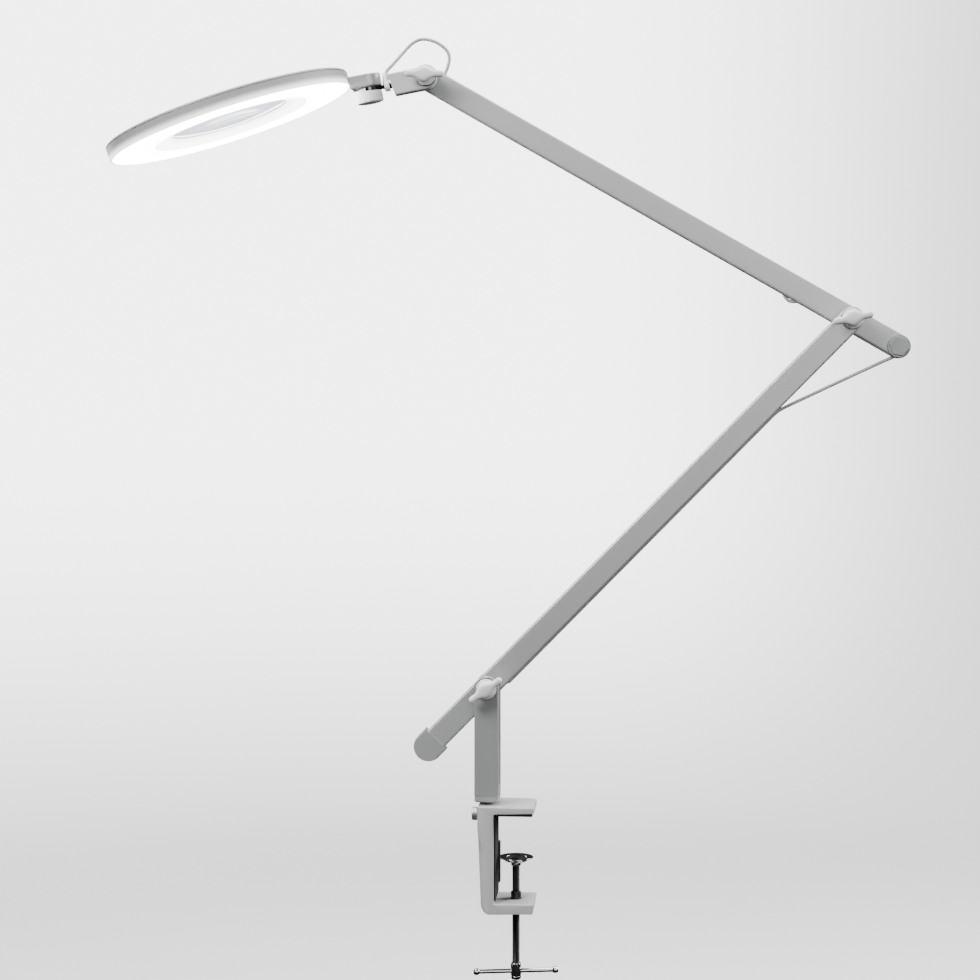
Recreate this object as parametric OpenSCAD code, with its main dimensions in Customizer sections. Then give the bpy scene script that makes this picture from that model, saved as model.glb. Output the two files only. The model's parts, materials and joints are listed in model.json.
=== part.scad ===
// Clamp-on magnifier lamp with two flat arms, a tilt block, a swivel rod and a round LED head.
// Origin: axis of the clamp screw, at the face of the rubber under the top jaw. +Z is up.
// The arms lie in planes parallel to XZ. The clamp opens towards +X.

/* [Clamp] */
// Depth of the clamp along Y
clamp_depth = 56; // [44:1:70]
// Thickness of the spine
spine_t = 16.5; // [13.5:0.5:22]
// Air between the pressure pad's edge and the rubber on the spine
pad_air = 1.5; // [1:0.1:4]
// Screw axis to the tip of the jaws
jaw_tip = 20; // [16:1:30]
// Rubber face to the top of the lower jaw, the widest table it takes
jaw_gap = 88.5; // [73:0.5:110]
// Thickness of the top jaw where it leaves the spine
top_jaw_t = 7.8; // [6.4:0.2:10]
// How much the underside of the top jaw rises towards its tip
top_jaw_draft = 1.2; // [0.4:0.2:2]
// How much thinner the top jaw's upper side gets at its tip
top_jaw_drop = 0.8; // [0:0.2:1.6]
// Thickness of the lower jaw
low_jaw_t = 11; // [9:0.5:14]
// Thickness of the rubber under the top jaw at the spine
pad_t = 2.2; // [1.6:0.2:3]
// Gap from the rubber face down to the pressure pad's rim
pad_drop = 45.4; // [30:0.2:56]

/* [Clamp screw] */
// Screw thread diameter
screw_d = 8; // [6:0.1:9.8]
// Length of the black threaded stretch below the pad
thread_len = 100; // [80:1:130]
// Length of the bright barrel at the screw's foot
barrel_len = 17.5; // [14:0.5:22]
// Diameter of the barrel
barrel_d = 10.4; // [8.6:0.2:13]
// Length of the T-bar over its turned ends
bar_len = 87; // [60:1:110]
// Diameter of the T-bar
bar_d = 4.4; // [3:0.1:5.4]
// Diameter of the pressure pad
pad_d = 35.4; // [28:0.2:44]
// How far the T-bar is turned away from the X axis
bar_turn = 9.6; // [-90:0.2:90]

/* [Post] */
// Width of the post, and of its cheeks
post_w = 24.5; // [20:0.5:30]
// Depth of the post along Y
post_depth = 38; // [31:0.5:46]
// Air between the lower arm's tail cap and a cheek
slot_air = 1; // [0.6:0.1:2]
// Air between the tail cap and the floor of the slot as it swings past
tail_air = 2.4; // [1:0.1:6]
// Metal under the floor of the slot
slot_floor_t = 5.8; // [5.6:0.1:12]
// Diameter of the spigot that turns in the clamp
spigot_d = 12; // [8:0.5:14.5]
// Length of the spigot inside the clamp
spigot_len = 36; // [26:1:50]

/* [Arms] */
// Height of the arm extrusion's section
arm_h = 24; // [22:0.5:29]
// Thickness of the arm extrusion
arm_t = 12; // [10:0.1:14.5]
// Wall of the arm extrusion
arm_wall = 2.2; // [1.4:0.1:2.7]
// Base pivot to elbow pivot
lower_len = 521; // [420:1:640]
// Base pivot to the flat edge of the tail cap
lower_tail = 74.8; // [60:0.2:92]
// Elbow pivot to head pivot
upper_len = 492.3; // [400:0.1:600]
// Elbow pivot to the middle of the round tail
upper_tail = 55; // [46:0.5:70]
// Gap between the two arms
arm_gap = 1.5; // [1.2:0.1:2.4]
// Pivot bolt diameter
bolt_d = 8; // [6:0.1:9.6]
// Elevation of the lower arm at rest
lower_angle = 45.6; // [10:0.1:80]
// Direction of the upper arm at rest, counted like the lower arm's
upper_angle = 150.1; // [90:0.1:165]

/* [Cable] */
// Cable diameter
cable_d = 3.4; // [2.6:0.1:3.5]
// Base pivot to the end of the groove in the lower arm
groove_end = 399; // [300:1:480]

/* [Wing knobs] */
// Length over the wings
wing_span = 40; // [34:1:48]
// Thickness of a wing, seen along the pivot
wing_h = 7; // [5:0.5:9]
// Flange diameter
flange_d = 21; // [18:0.5:23]

/* [Tilt block] */
// Slope of the block and the neck at rest
head_angle = 10.5; // [-20:0.5:30]
// Turn of the rod in the block at rest
head_twist = 3.3; // [-30:0.1:30]
// Height of the block
block_h = 22.8; // [19:0.2:27.6]
// Tilt pivot to the block's nose
block_len = 37.9; // [31:0.1:46]
// Diameter of the swivel rod
rod_d = 6; // [5:0.1:7.2]
// Diameter of the neck's thumb knob
neck_knob_d = 27; // [22:0.5:33]
// Round rod showing between the white collar and the flat of the eye
rod_show = 1.2; // [0.5:0.1:20]

/* [Head] */
// Outside diameter of the head
head_d = 256.4; // [210:0.2:310]
// Height of the head
head_h = 16; // [13.2:0.2:20]
// Lens diameter, 5 inches
lens_d = 127; // [105:0.5:153]
// Focal length of the lens, 3 dioptres
lens_focus = 333; // [270:1:500]
// Inside diameter of the lit ring
ring_bore = 162; // [157:1:195]
// Swivel axis to the rim of the head
neck_reach = 15.9; // [13.2:0.1:24]
// Tilt of the head's disc against the neck
head_pitch = 7.6; // [5:0.1:10]
// Number of LED chips
led_count = 60; // [24:2:72]

/* [Hidden] */
$fn = 64;

// fits and small clearances
run = 0.05;          // running clearance on a radius
gap = 0.3;           // air between bodies that pass each other
eps = 0.5;           // overrun of a cut
bolt_r = bolt_d / 2;
bush_r = bolt_r + 1.5;
washer_r = 11;
cable_r = cable_d / 2;
cable_sides = 8;

// clamp levels, and its outline in XZ
jaw_under = pad_t;
clamp_top = pad_t + top_jaw_t;
low_jaw_top = -jaw_gap;
clamp_foot = low_jaw_top - low_jaw_t;
pad_r = pad_d / 2;
liner_t = 1.8;
rib_t = 1.9;
rib_y = 15;
spine_in = -pad_r - pad_air - liner_t;
spine_out = spine_in - spine_t;
spine_lean = 3.2;
pad_half = clamp_depth / 2 - 3;
bush_out_r = screw_d / 2 + 2.2;
bush_head_r = screw_d / 2 + 1.2;
bush_head_h = 7.5;

// clamp screw and pad
screw_r = screw_d / 2;
pad_rim = -pad_drop;
hub_h = 9;
hub_foot = pad_rim - hub_h;
stud_r = screw_r - 1;
recess_r = pad_r - 6.7;
recess_deep = 3.2;
screw_low = hub_foot - thread_len;
barrel_low = screw_low - barrel_len;
bar_z = screw_low - barrel_len / 2;
lock_z = -2;
lock_head_r = 6.7;
lock_shank_r = 3;

// post levels
post_x = spine_out + spine_t / 2 + 0.25;
spigot_r = spigot_d / 2;
spigot_collar_r = spigot_r + 2.6;
collar_low = clamp_top + gap;
collar_h = 2.7;
foot_low = collar_low + collar_h;
foot_h = 6.4;
cap_grow = 3;
fork_low = foot_low + foot_h;
cap_straight = 10.9;
cap_reach = lower_tail + cap_straight + arm_h / 2 + cap_grow;
slot_floor = fork_low + slot_floor_t;
pivot_z = slot_floor + tail_air + cap_reach;
cheek_y = post_depth / 2;
tenon = 5;
knob_washer_t = 1.2;

// arm levels across Y
arm_r = arm_h / 2;
half_t = arm_t / 2;
edge_r = 2.4;
upper_y = arm_t + arm_gap;
upper_back = upper_y + half_t;
upper_front = upper_y - half_t;
cap_side = 1.5;
slot_w = arm_t + 2 * cap_side + 2 * slot_air;
cap_lap = 12;
cavity_h = arm_h - 2 * arm_wall;
cable_lane = -(bush_r + cavity_h / 2) / 2;
groove_z = -arm_r - 0.25;
cable_hole_s = 16;
groove_mouth = 11;
inlet_r = 4.1;
socket_r = 2.8;
socket_deep = 9;
tail_stud_r = 4;
tail_x = upper_len + upper_tail;
window_a = upper_len - 80;
window_b = upper_len - 46;
exit_x = 13.3;
boss_r = arm_r - 0.6;
boss_t = 3.4;
hex_r = boss_r - 1.4;
hex_t = 1.6;
hex_turn = -12;

// wing knob
hub_r = 8.5;
flange_t = 2.5;
knob_t = 13;
wing_t = 8;
bulge = 3.6;
bulge_half = 10;

// joint points
elbow = [post_x + lower_len * cos(lower_angle), 0, pivot_z + lower_len * sin(lower_angle)];
head_pivot = elbow + upper_len * [cos(upper_angle), 0, sin(upper_angle)];

// tilt block, in its own frame with the tilt pivot at the origin and +X back along the neck
block_mid = -2;
block_cut = 4.4;
rod_r = rod_d / 2;
rod_bore_r = rod_r - 1.1;
rod_back = 9;
eye_t = 3.6;
eye_r = 9;
eye_top = block_mid + eye_t / 2;
collar_r = 5.4;
collar_t = 5;
nozzle_turn = [-9, 8, 0];
nozzle_len = 11.4;
tab_low = eye_top + gap;
tab_h = 12.8;
tab_r = 14.4;
flat_end = max(tab_r, neck_knob_d / 2) + 1.5;
swivel_x = block_len + collar_t + rod_show + flat_end;
neck_knob_top = eye_top - eye_t - gap;
neck_knob_h = 11.6;

// head, in its own frame with the middle of its underside at the origin
head_r = head_d / 2;
head_reach = head_r + neck_reach;
head_sink = -10.1;
shell = 2.4;
shell_low = 0.5;
cover_h = 2.6;
split = head_h - cover_h;
split_gap = 0.3;
cover_t = 1.6;
web_low = split - 4;
web_t = 1.4;
board_t = 1.2;
lens_r = lens_d / 2;
lens_wall_r = lens_r + 0.6;
lens_ledge_r = lens_r - 2.4;
lens_edge = 2.4;
lens_z = split - 5.2;
lens_curve = 2 * 0.523 * lens_focus;
lens_sag = lens_curve - sqrt(lens_curve * lens_curve - lens_r * lens_r);
lens_seat = lens_z - lens_face(lens_ledge_r) - 0.05;
ring_r = ring_bore / 2;
diffuser_out = head_r - shell - 0.3;
button_at = head_r - 16.2;
button_r = 7;
board_in = ring_r + 5;
board_out = head_r - 7.2;

// cable routes, as points in the lamp's own frame
span_route = [[258.2, 0, 404], [260, 0, 405.8], [262, 0.1, 407.5], [264.6, 0.2, 409.3],
    [268, 0.5, 411.2], [273, 1, 413.7], [285, 2.5, 419.4], [300, 4.2, 426.5], [315, 6, 433.6],
    [330, 7.8, 440.6], [345, 9.6, 447.6], [355, 10.9, 452.2], [365, 12.3, 456.8],
    [371.6, 13.3, 459.7], [377.7, 13.5, 462.4]];
loop_route = [[-73.8, 13.5, 749.7], [-71.4, 13.5, 755], [-69.6, 13.5, 760.6], [-68.8, 13.5, 766],
    [-69.9, 13.4, 771], [-73.2, 13.2, 775.8], [-78.5, 12.8, 780], [-84.8, 12, 783.2],
    [-92, 11.2, 785], [-98.6, 10.2, 784.6], [-104.2, 9.2, 782], [-109, 7.8, 777.8],
    [-114.5, 6.4, 771.6], [-120, 5, 765], [-124.6, 3.9, 759.8], [-128.2, 3.1, 755.9],
    [-130.6, 2.6, 753.1], [-131.9, 2.2, 751], [-132.4, 1.9, 749.6], [-132.5, 1.7, 748.3]];

// ---------- shared shapes ----------

// rectangle with round corners, made of exact pieces
module round_rect(w, h, r) {
    square([w - 2 * r, h], center = true);
    square([w, h - 2 * r], center = true);
    for (x = [-1, 1], y = [-1, 1])
        translate([x * (w / 2 - r), y * (h / 2 - r)]) circle(r);
}

// bar along +X from x0 to x1 with the section w across Y and h across Z
module bar_x(x0, x1, w, h, r) {
    translate([x0, 0, 0]) rotate([90, 0, 90]) linear_extrude(x1 - x0) round_rect(w, h, r);
}

// plate parallel to XZ, centred on Y = 0
module plate_y(t) {
    rotate([90, 0, 0]) linear_extrude(t, center = true) children();
}

// round bar along Y between two levels
module rod_y(r, y0, y1) {
    translate([0, y1, 0]) rotate([90, 0, 0]) cylinder(r = r, h = y1 - y0);
}

module ring_y(r, bore, y0, y1) {
    difference() {
        rod_y(r, y0, y1);
        rod_y(bore, y0 - eps, y1 + eps);
    }
}

// half-round end of an arm, turned about Y from the section's own half; turn points it along +X or -X
module arm_end(turn) {
    rotate([90, 0, 0]) rotate([0, 0, turn - 90]) rotate_extrude(angle = 180)
        intersection() {
            rotate(90) round_rect(arm_t, arm_h, edge_r);
            translate([0, -arm_t]) square([arm_h, 2 * arm_t]);
        }
}

// points of an arc in the plane
function arc(c, r, a0, a1, n) =
    [for (i = [0:n]) c + r * [cos(a0 + (a1 - a0) * i / n), sin(a0 + (a1 - a0) * i / n)]];

// a tube swept along route points: rings stand square to the mean of the two runs that meet there
function unit(v) = v / norm(v);
function run_dir(p, i) = unit(p[min(i + 1, len(p) - 1)] - p[max(i - 1, 0)]);
function side_dir(d) = unit(cross(d, abs(d[1]) < 0.9 ? [0, 1, 0] : [1, 0, 0]));
function ring(p, i, r) = let (d = run_dir(p, i), u = side_dir(d), v = cross(d, u))
    [for (k = [0:cable_sides - 1])
        p[i] + r * (cos(360 * k / cable_sides) * u + sin(360 * k / cable_sides) * v)];
module swept_tube(p, r) {
    n = cable_sides;
    last = (len(p) - 1) * n;
    points = [for (i = [0:len(p) - 1], q = ring(p, i, r)) q];
    sides = [for (i = [0:len(p) - 2], k = [0:n - 1])
        [i * n + k, (i + 1) * n + k, (i + 1) * n + (k + 1) % n, i * n + (k + 1) % n]];
    ends = [[for (k = [0:n - 1]) k], [for (k = [n - 1:-1:0]) last + k]];
    polyhedron(points, concat(sides, ends), convexity = 6);
}

// wing knob about -Y, seated on Y = 0, with its wings turned up from +X
function wing_half(x) =
    wing_h / 2 + (abs(x) < bulge_half ? bulge * (0.5 + 0.5 * cos(180 * x / bulge_half)) : 0);
module wing_outline() {
    reach = wing_span / 2 - wing_h / 2;
    steps = 24;
    xs = [for (i = [0:steps]) reach * (2 * i / steps - 1)];
    polygon([for (x = xs) [x, wing_half(x)], for (i = [steps:-1:0]) [xs[i], -wing_half(xs[i])]]);
    for (x = [-reach, reach]) translate([x, 0]) circle(wing_h / 2);
}
module wing_knob(turn) {
    rotate([90, 0, 0]) difference() {
        union() {
            cylinder(d = flange_d, h = flange_t);
            cylinder(r = hub_r, h = knob_t - wing_t / 2);
            rotate(turn) translate([0, 0, knob_t - wing_t]) linear_extrude(wing_t) wing_outline();
        }
        translate([0, 0, -eps]) cylinder(r = bolt_r + run, h = knob_t - 3 + eps);
    }
}

// frames of the moving bodies
module at_base() translate([post_x, 0, pivot_z]) children();
module at_lower() at_base() rotate([0, -lower_angle, 0]) children();
module at_elbow() translate(elbow) children();
module at_upper() at_elbow() rotate([0, 180 - upper_angle, 0]) translate([-upper_len, 0, 0]) children();
module at_head_pivot() translate(head_pivot) children();
module at_block() at_head_pivot() rotate([0, -head_angle, 0]) children();
module at_rod() at_block() translate([0, 0, block_mid]) rotate([head_twist, 0, 0])
    translate([0, 0, -block_mid]) children();
module at_swivel() at_rod() translate([-swivel_x, 0, 0]) children();
module at_head() at_swivel() translate([-head_reach, 0, head_sink]) rotate([0, -head_pitch, 0]) children();

// ---------- clamp ----------

module clamp_outline() {
    foot_r = 9;
    difference() {
        polygon(concat(
            [[spine_out, clamp_top], [spine_out, -12]],
            arc([spine_out + spine_lean + foot_r, clamp_foot + foot_r], foot_r, 180, 270, 12),
            [[jaw_tip - 1.5, clamp_foot + 1.5], [jaw_tip, low_jaw_top],
             [jaw_tip, clamp_top - top_jaw_drop]]));
        polygon([[spine_in, jaw_under], [jaw_tip + eps, jaw_under + top_jaw_draft],
            [jaw_tip + eps, low_jaw_top], [spine_in, low_jaw_top]]);
    }
}
// seen from above, with the spine's outer corners rounded
module clamp_plan() {
    corner = 7;
    tip_r = 4;
    mid = (spine_out + jaw_tip) / 2;
    half = clamp_depth / 2;
    for (y = [-1, 1]) {
        translate([spine_out + corner, y * (half - corner)]) circle(corner);
        translate([jaw_tip - tip_r, y * (half - tip_r)]) circle(tip_r);
    }
    translate([spine_out, -half + corner]) square([mid - spine_out, clamp_depth - 2 * corner]);
    translate([spine_out + corner, -half]) square([jaw_tip - tip_r - spine_out - corner, clamp_depth]);
    translate([mid, -half + tip_r]) square([jaw_tip - mid, clamp_depth - 2 * tip_r]);
}
module clamp_body() {
    color("gainsboro") difference() {
        intersection() {
            plate_y(clamp_depth) clamp_outline();
            translate([0, 0, clamp_foot - eps])
                linear_extrude(clamp_top - clamp_foot + 2 * eps) clamp_plan();
        }
        translate([post_x, 0, clamp_top - spigot_len])
            cylinder(r = spigot_r + run, h = spigot_len + eps);
        translate([spine_out - eps, 0, lock_z]) rotate([0, 90, 0])
            cylinder(r = lock_shank_r + run, h = post_x - spine_out + eps);
        translate([0, 0, clamp_foot - eps]) cylinder(r = bush_out_r, h = low_jaw_t + 2 * eps);
    }
}
module jaw_pad() {
    color("black") plate_y(2 * pad_half) polygon([[spine_in + 2, 0], [jaw_tip - 2, 0],
        [jaw_tip - 2, jaw_rise(jaw_tip - 2)], [spine_in + 2, jaw_rise(spine_in + 2)]]);
}
// height of the top jaw's underside at x
function jaw_rise(x) = jaw_under + top_jaw_draft * (x - spine_in) / (jaw_tip + eps - spine_in);
module spine_pad() {
    rib_high = 42;
    rib_low = 0.86 * jaw_gap;
    color("black") difference() {
        union() {
            translate([spine_in, -pad_half, low_jaw_top + 2])
                cube([liner_t, 2 * pad_half, jaw_gap - 4]);
            translate([spine_in, rib_y, -rib_low])
                cube([liner_t + rib_t, pad_half - rib_y, rib_high]);
        }
        translate([spine_in + liner_t - 0.8, 4, low_jaw_top]) cube([0.8 + eps, 5, jaw_gap]);
    }
}
module screw_bush() {
    color("dimgray") difference() {
        union() {
            translate([0, 0, clamp_foot]) cylinder(r = bush_out_r, h = low_jaw_t);
            translate([0, 0, low_jaw_top]) cylinder(r = bush_head_r, h = bush_head_h);
        }
        translate([0, 0, clamp_foot - eps])
            cylinder(r = screw_r + run, h = low_jaw_t + bush_head_h + 2 * eps);
    }
}
module post_lock_screw() {
    head_t = 5.6;
    neck_t = 1.6;
    head_x = spine_out - gap - neck_t - head_t;
    tip_x = post_x - spigot_r - 0.1;
    color("gainsboro") translate([head_x, 0, lock_z]) rotate([0, 90, 0]) {
        cylinder(r1 = lock_head_r - 0.8, r2 = lock_head_r, h = 0.8);
        translate([0, 0, 0.8]) cylinder(r = lock_head_r, h = head_t - 0.8);
        translate([0, 0, head_t]) cylinder(r = 4.6, h = neck_t);
        translate([0, 0, head_t]) cylinder(r = lock_shank_r, h = tip_x - head_x - head_t);
    }
}
// flared dish with a hub, open in the middle for the screw's riveted stud
module pressure_pad() {
    wall = 1.8;
    flare = 4.4;
    color("silver") rotate_extrude() polygon(concat(
        [[stud_r + run, hub_foot], [bush_head_r - 0.2, hub_foot], [bush_head_r - 0.2, hub_foot + 2.6],
         [recess_r, pad_rim - recess_deep - wall + 0.6]],
        [[pad_r - flare, pad_rim - 2.1], [pad_r, pad_rim - 0.7], [pad_r, pad_rim],
         [recess_r + 1.2, pad_rim - 0.3], [recess_r, pad_rim - 0.9],
         [recess_r - 1.6, pad_rim - recess_deep], [stud_r + run, pad_rim - recess_deep]]));
}
module clamp_screw() {
    rivet_r = stud_r + 1.4;
    round_end = 2;
    color("dimgray") difference() {
        union() {
            translate([0, 0, screw_low]) cylinder(r = screw_r, h = hub_foot - gap - screw_low);
            translate([0, 0, hub_foot - gap - eps])
                cylinder(r = stud_r, h = hub_h - recess_deep + 2 * gap + eps);
            translate([0, 0, pad_rim - recess_deep + gap]) cylinder(r = rivet_r, h = 1.2);
            translate([0, 0, barrel_low]) rotate_extrude() polygon(concat([[0, 0]],
                arc([barrel_d / 2 - round_end, round_end], round_end, -90, 0, 6),
                [[barrel_d / 2, barrel_len - 0.8], [barrel_d / 2 - 0.8, barrel_len], [0, barrel_len]]));
        }
        translate([0, 0, bar_z]) rotate([0, 90, bar_turn])
            cylinder(r = bar_d / 2 + run, h = barrel_d + 2, center = true);
    }
}
module tommy_bar() {
    knob_r = bar_d / 2 + 1.3;
    end_len = 6;
    color("silver") translate([0, 0, bar_z]) rotate([0, 90, bar_turn]) {
        cylinder(r = bar_d / 2, h = bar_len - 2 * end_len + 1, center = true);
        for (s = [-1, 1]) translate([0, 0, s * (bar_len / 2 - end_len / 2)])
            intersection() {
                cylinder(r = knob_r, h = end_len, center = true);
                sphere(r = 1.25 * knob_r);
            }
    }
}

// ---------- post ----------

module post_section(grow) {
    round_rect(post_w + 2 * grow, post_depth + 2 * grow, 1.6);
}
module post_fork() {
    top = pivot_z + post_w / 2;
    color("darkgray") difference() {
        intersection() {
            translate([post_x, 0, 0]) plate_y(post_depth) {
                translate([-post_w / 2, fork_low]) square([post_w, pivot_z - fork_low]);
                translate([0, pivot_z]) circle(post_w / 2);
            }
            translate([post_x, 0, fork_low]) linear_extrude(top - fork_low) post_section(0);
        }
        translate([post_x - post_w, -slot_w / 2, slot_floor]) cube([2 * post_w, slot_w, top]);
        at_base() rod_y(bolt_r + run, -post_depth, post_depth);
        translate([post_x, 0, fork_low - eps]) cylinder(r = spigot_r, h = tenon + eps);
    }
}
module post_foot() {
    skirt = 3;
    color("darkgray") difference() {
        translate([post_x, 0, 0]) {
            translate([0, 0, foot_low + skirt]) linear_extrude(foot_h - skirt) post_section(-0.25);
            translate([0, 0, foot_low + 1]) linear_extrude(skirt - 1) post_section(0);
            translate([0, 0, foot_low]) linear_extrude(1) post_section(-1);
        }
        translate([post_x, 0, foot_low - eps]) cylinder(r = spigot_r, h = foot_h + 2 * eps);
    }
}
module post_spigot() {
    color("dimgray") translate([post_x, 0, 0]) {
        translate([0, 0, clamp_top - spigot_len + 2])
            cylinder(r = spigot_r, h = fork_low + tenon - clamp_top + spigot_len - 2);
        translate([0, 0, collar_low]) cylinder(r = spigot_collar_r, h = collar_h);
    }
}
module pivot_bolt(y_front, y_back) {
    head_t = 3.6;
    rod_y(bolt_r, y_front, y_back + eps);
    translate([0, y_back, 0]) rotate([-90, 0, 0]) {
        cylinder(r = 7.5, h = head_t - 1.4);
        translate([0, 0, head_t - 1.4]) cylinder(r1 = 7.5, r2 = 5.2, h = 1.4);
    }
}
module base_bolt() {
    color("silver") at_base() pivot_bolt(-cheek_y - knob_washer_t - 9, cheek_y);
}
module base_washers() {
    color("dimgray") at_base() for (s = [0, 1]) mirror([0, s, 0])
        ring_y(washer_r, bolt_r + run, half_t + gap, slot_w / 2);
}
module base_knob_washer() {
    color("dimgray") at_base() ring_y(washer_r, bolt_r + run, -cheek_y - knob_washer_t, -cheek_y);
}
module base_knob() {
    color("white") at_base() translate([0, -cheek_y - knob_washer_t - gap, 0]) wing_knob(36);
}

// ---------- lower arm ----------

module lower_arm() {
    start = -lower_tail - cap_lap;
    color("silver") at_lower() difference() {
        union() {
            bar_x(start, lower_len, arm_t, arm_h, edge_r);
            translate([lower_len, 0, 0]) arm_end(0);
        }
        bar_x(start - eps, lower_len - arm_r - 2, arm_t - 2 * arm_wall, cavity_h, 1);
        for (x = [0, lower_len]) translate([x, 0, 0]) rod_y(bush_r, -arm_t, arm_t);
        translate([cable_hole_s, 0, groove_z]) rotate([0, 90, 0])
            cylinder(r = cable_r + 0.1, h = groove_end - cable_hole_s);
        translate([groove_end - eps, 0, groove_z]) rotate([0, 90, 0])
            cylinder(r = cable_r + 0.8, h = groove_mouth);
        translate([cable_hole_s, 0, -arm_r - eps]) cylinder(r = cable_r + 0.6, h = arm_wall + 2 * eps);
    }
}
module lower_arm_bushes() {
    color("dimgray") at_lower() {
        ring_y(bush_r, bolt_r + run, -half_t, half_t);
        translate([lower_len, 0, 0]) ring_y(bush_r, bolt_r, -half_t, half_t);
    }
}
module lower_tail_cap() {
    cap_h = arm_h + 2 * cap_grow;
    cap_t = arm_t + 2 * cap_side;
    end_x = -lower_tail - cap_straight;
    color("darkgray") at_lower() difference() {
        intersection() {
            plate_y(cap_t) {
                translate([end_x, -cap_h / 2]) square([cap_straight, cap_h]);
                translate([end_x, 0]) circle(cap_h / 2);
            }
            bar_x(end_x - cap_h / 2, -lower_tail, cap_t, cap_h, 1.6);
        }
        bar_x(-lower_tail - cap_lap, -lower_tail + eps, arm_t, arm_h, edge_r);
        translate([end_x - cap_h / 2 - eps, 0, 0]) rotate([0, 90, 0]) cylinder(r = inlet_r, h = cap_h / 2);
    }
}
// barrel socket in the tail cap, with its centre pin
module dc_inlet() {
    mouth = 0.8 - cap_reach;
    arm_start = -lower_tail - cap_lap;
    tail_len = 3;
    color("black") at_lower() {
        translate([mouth, 0, 0]) rotate([0, 90, 0]) difference() {
            cylinder(r = inlet_r, h = arm_start - mouth);
            translate([0, 0, -eps]) cylinder(r = socket_r, h = socket_deep + eps);
        }
        translate([arm_start, 0, 0]) rotate([0, 90, 0])
            cylinder(r = half_t - arm_wall - gap, h = tail_len);
        translate([mouth + 1.5, 0, 0]) rotate([0, 90, 0]) cylinder(r = 1, h = 8);
    }
}
module elbow_bolt() {
    color("silver") at_elbow() pivot_bolt(-half_t - knob_washer_t - 9, upper_back + gap);
}
module elbow_washer() {
    color("dimgray") at_elbow() ring_y(washer_r, bolt_r, half_t, upper_front - gap);
}
module elbow_knob_washer() {
    color("dimgray") at_elbow() ring_y(washer_r, bolt_r, -half_t - knob_washer_t, -half_t);
}
module elbow_knob() {
    color("white") at_elbow() translate([0, -half_t - knob_washer_t - gap, 0]) wing_knob(11);
}
module lower_cable_run() {
    inner = -lower_tail - cap_lap + 3.1;
    dip = 7;
    color("gray") at_lower() swept_tube([[inner, 0, -1.5], [inner + 3, 0, -1.5],
        [inner + 6, 0, -3.4], [inner + 9, 0, cable_lane + 0.6], [inner + 13, 0, cable_lane],
        [0, 0, cable_lane], [cable_hole_s - 6, 0, cable_lane], [cable_hole_s - 1, 0, cable_lane - 1.4],
        [cable_hole_s + 3, 0, groove_z + 0.2], [cable_hole_s + dip, 0, groove_z],
        [groove_end - 1.3, 0, groove_z]], cable_r - 0.05);
}
module elbow_cable_span() {
    color("gray") swept_tube(span_route, cable_r - 0.05);
}

// ---------- upper arm, with the head pivot at its frame's origin and the elbow at +X ----------

module upper_arm() {
    color("silver") at_upper() translate([0, upper_y, 0]) difference() {
        union() {
            bar_x(0, tail_x, arm_t, arm_h, edge_r);
            arm_end(180);
            translate([tail_x, 0, 0]) arm_end(0);
        }
        bar_x(exit_x - 3, tail_x - 8, arm_t - 2 * arm_wall, cavity_h, 1);
        for (x = [0, upper_len]) translate([x, 0, 0]) rod_y(bush_r, -arm_t, arm_t);
        translate([tail_x, 0, 0]) rod_y(tail_stud_r, -arm_t, arm_t);
        translate([tail_x - 9, -cable_r - 0.5, -arm_r - 1])
            cube([13, cable_d + 1, arm_r + 1 - tail_stud_r + 0.8]);
        translate([(window_a + window_b) / 2, 0, -arm_r])
            cube([window_b - window_a, cable_d + 1, 2 * arm_wall + 2], center = true);
        translate([exit_x, 0, arm_r]) cylinder(r = cable_r + 1, h = 12, center = true);
    }
}
module upper_arm_bushes() {
    color("dimgray") at_upper() {
        ring_y(bush_r, bolt_r, upper_front, upper_back);
        translate([upper_len, 0, 0]) ring_y(bush_r, bolt_r + run, upper_front, upper_back);
    }
}
module upper_tail_cap() {
    color("darkgray") at_upper() translate([tail_x, 0, 0]) {
        rod_y(tail_stud_r, upper_front - boss_t, upper_back - 1);
        rod_y(boss_r, upper_front - boss_t, upper_front);
        translate([0, upper_front - boss_t - hex_t, 0]) rotate([-90, 0, 0])
            rotate(180 - upper_angle - hex_turn) cylinder(r = hex_r, h = hex_t, $fn = 6);
    }
}
module tilt_bolt() {
    color("silver") at_head_pivot() pivot_bolt(-half_t - knob_washer_t - 9, upper_back);
}
module tilt_washer() {
    color("dimgray") at_head_pivot() ring_y(washer_r - 0.5, bolt_r, half_t + gap, upper_front);
}
module tilt_knob_washer() {
    color("dimgray") at_head_pivot()
        ring_y(washer_r, bolt_r, -half_t - knob_washer_t - gap, -half_t - gap);
}
module tilt_knob() {
    color("white") at_head_pivot()
        translate([0, -half_t - knob_washer_t - 2 * gap, 0]) wing_knob(-1.5);
}
module cable_grommet() {
    color("darkgray") at_upper() translate([exit_x, upper_y, arm_r - arm_wall]) difference() {
        cylinder(r = cable_r + 1, h = arm_wall + 0.8);
        translate([0, 0, -eps]) cylinder(r = cable_r + 0.1, h = arm_wall + 2);
    }
}
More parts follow.
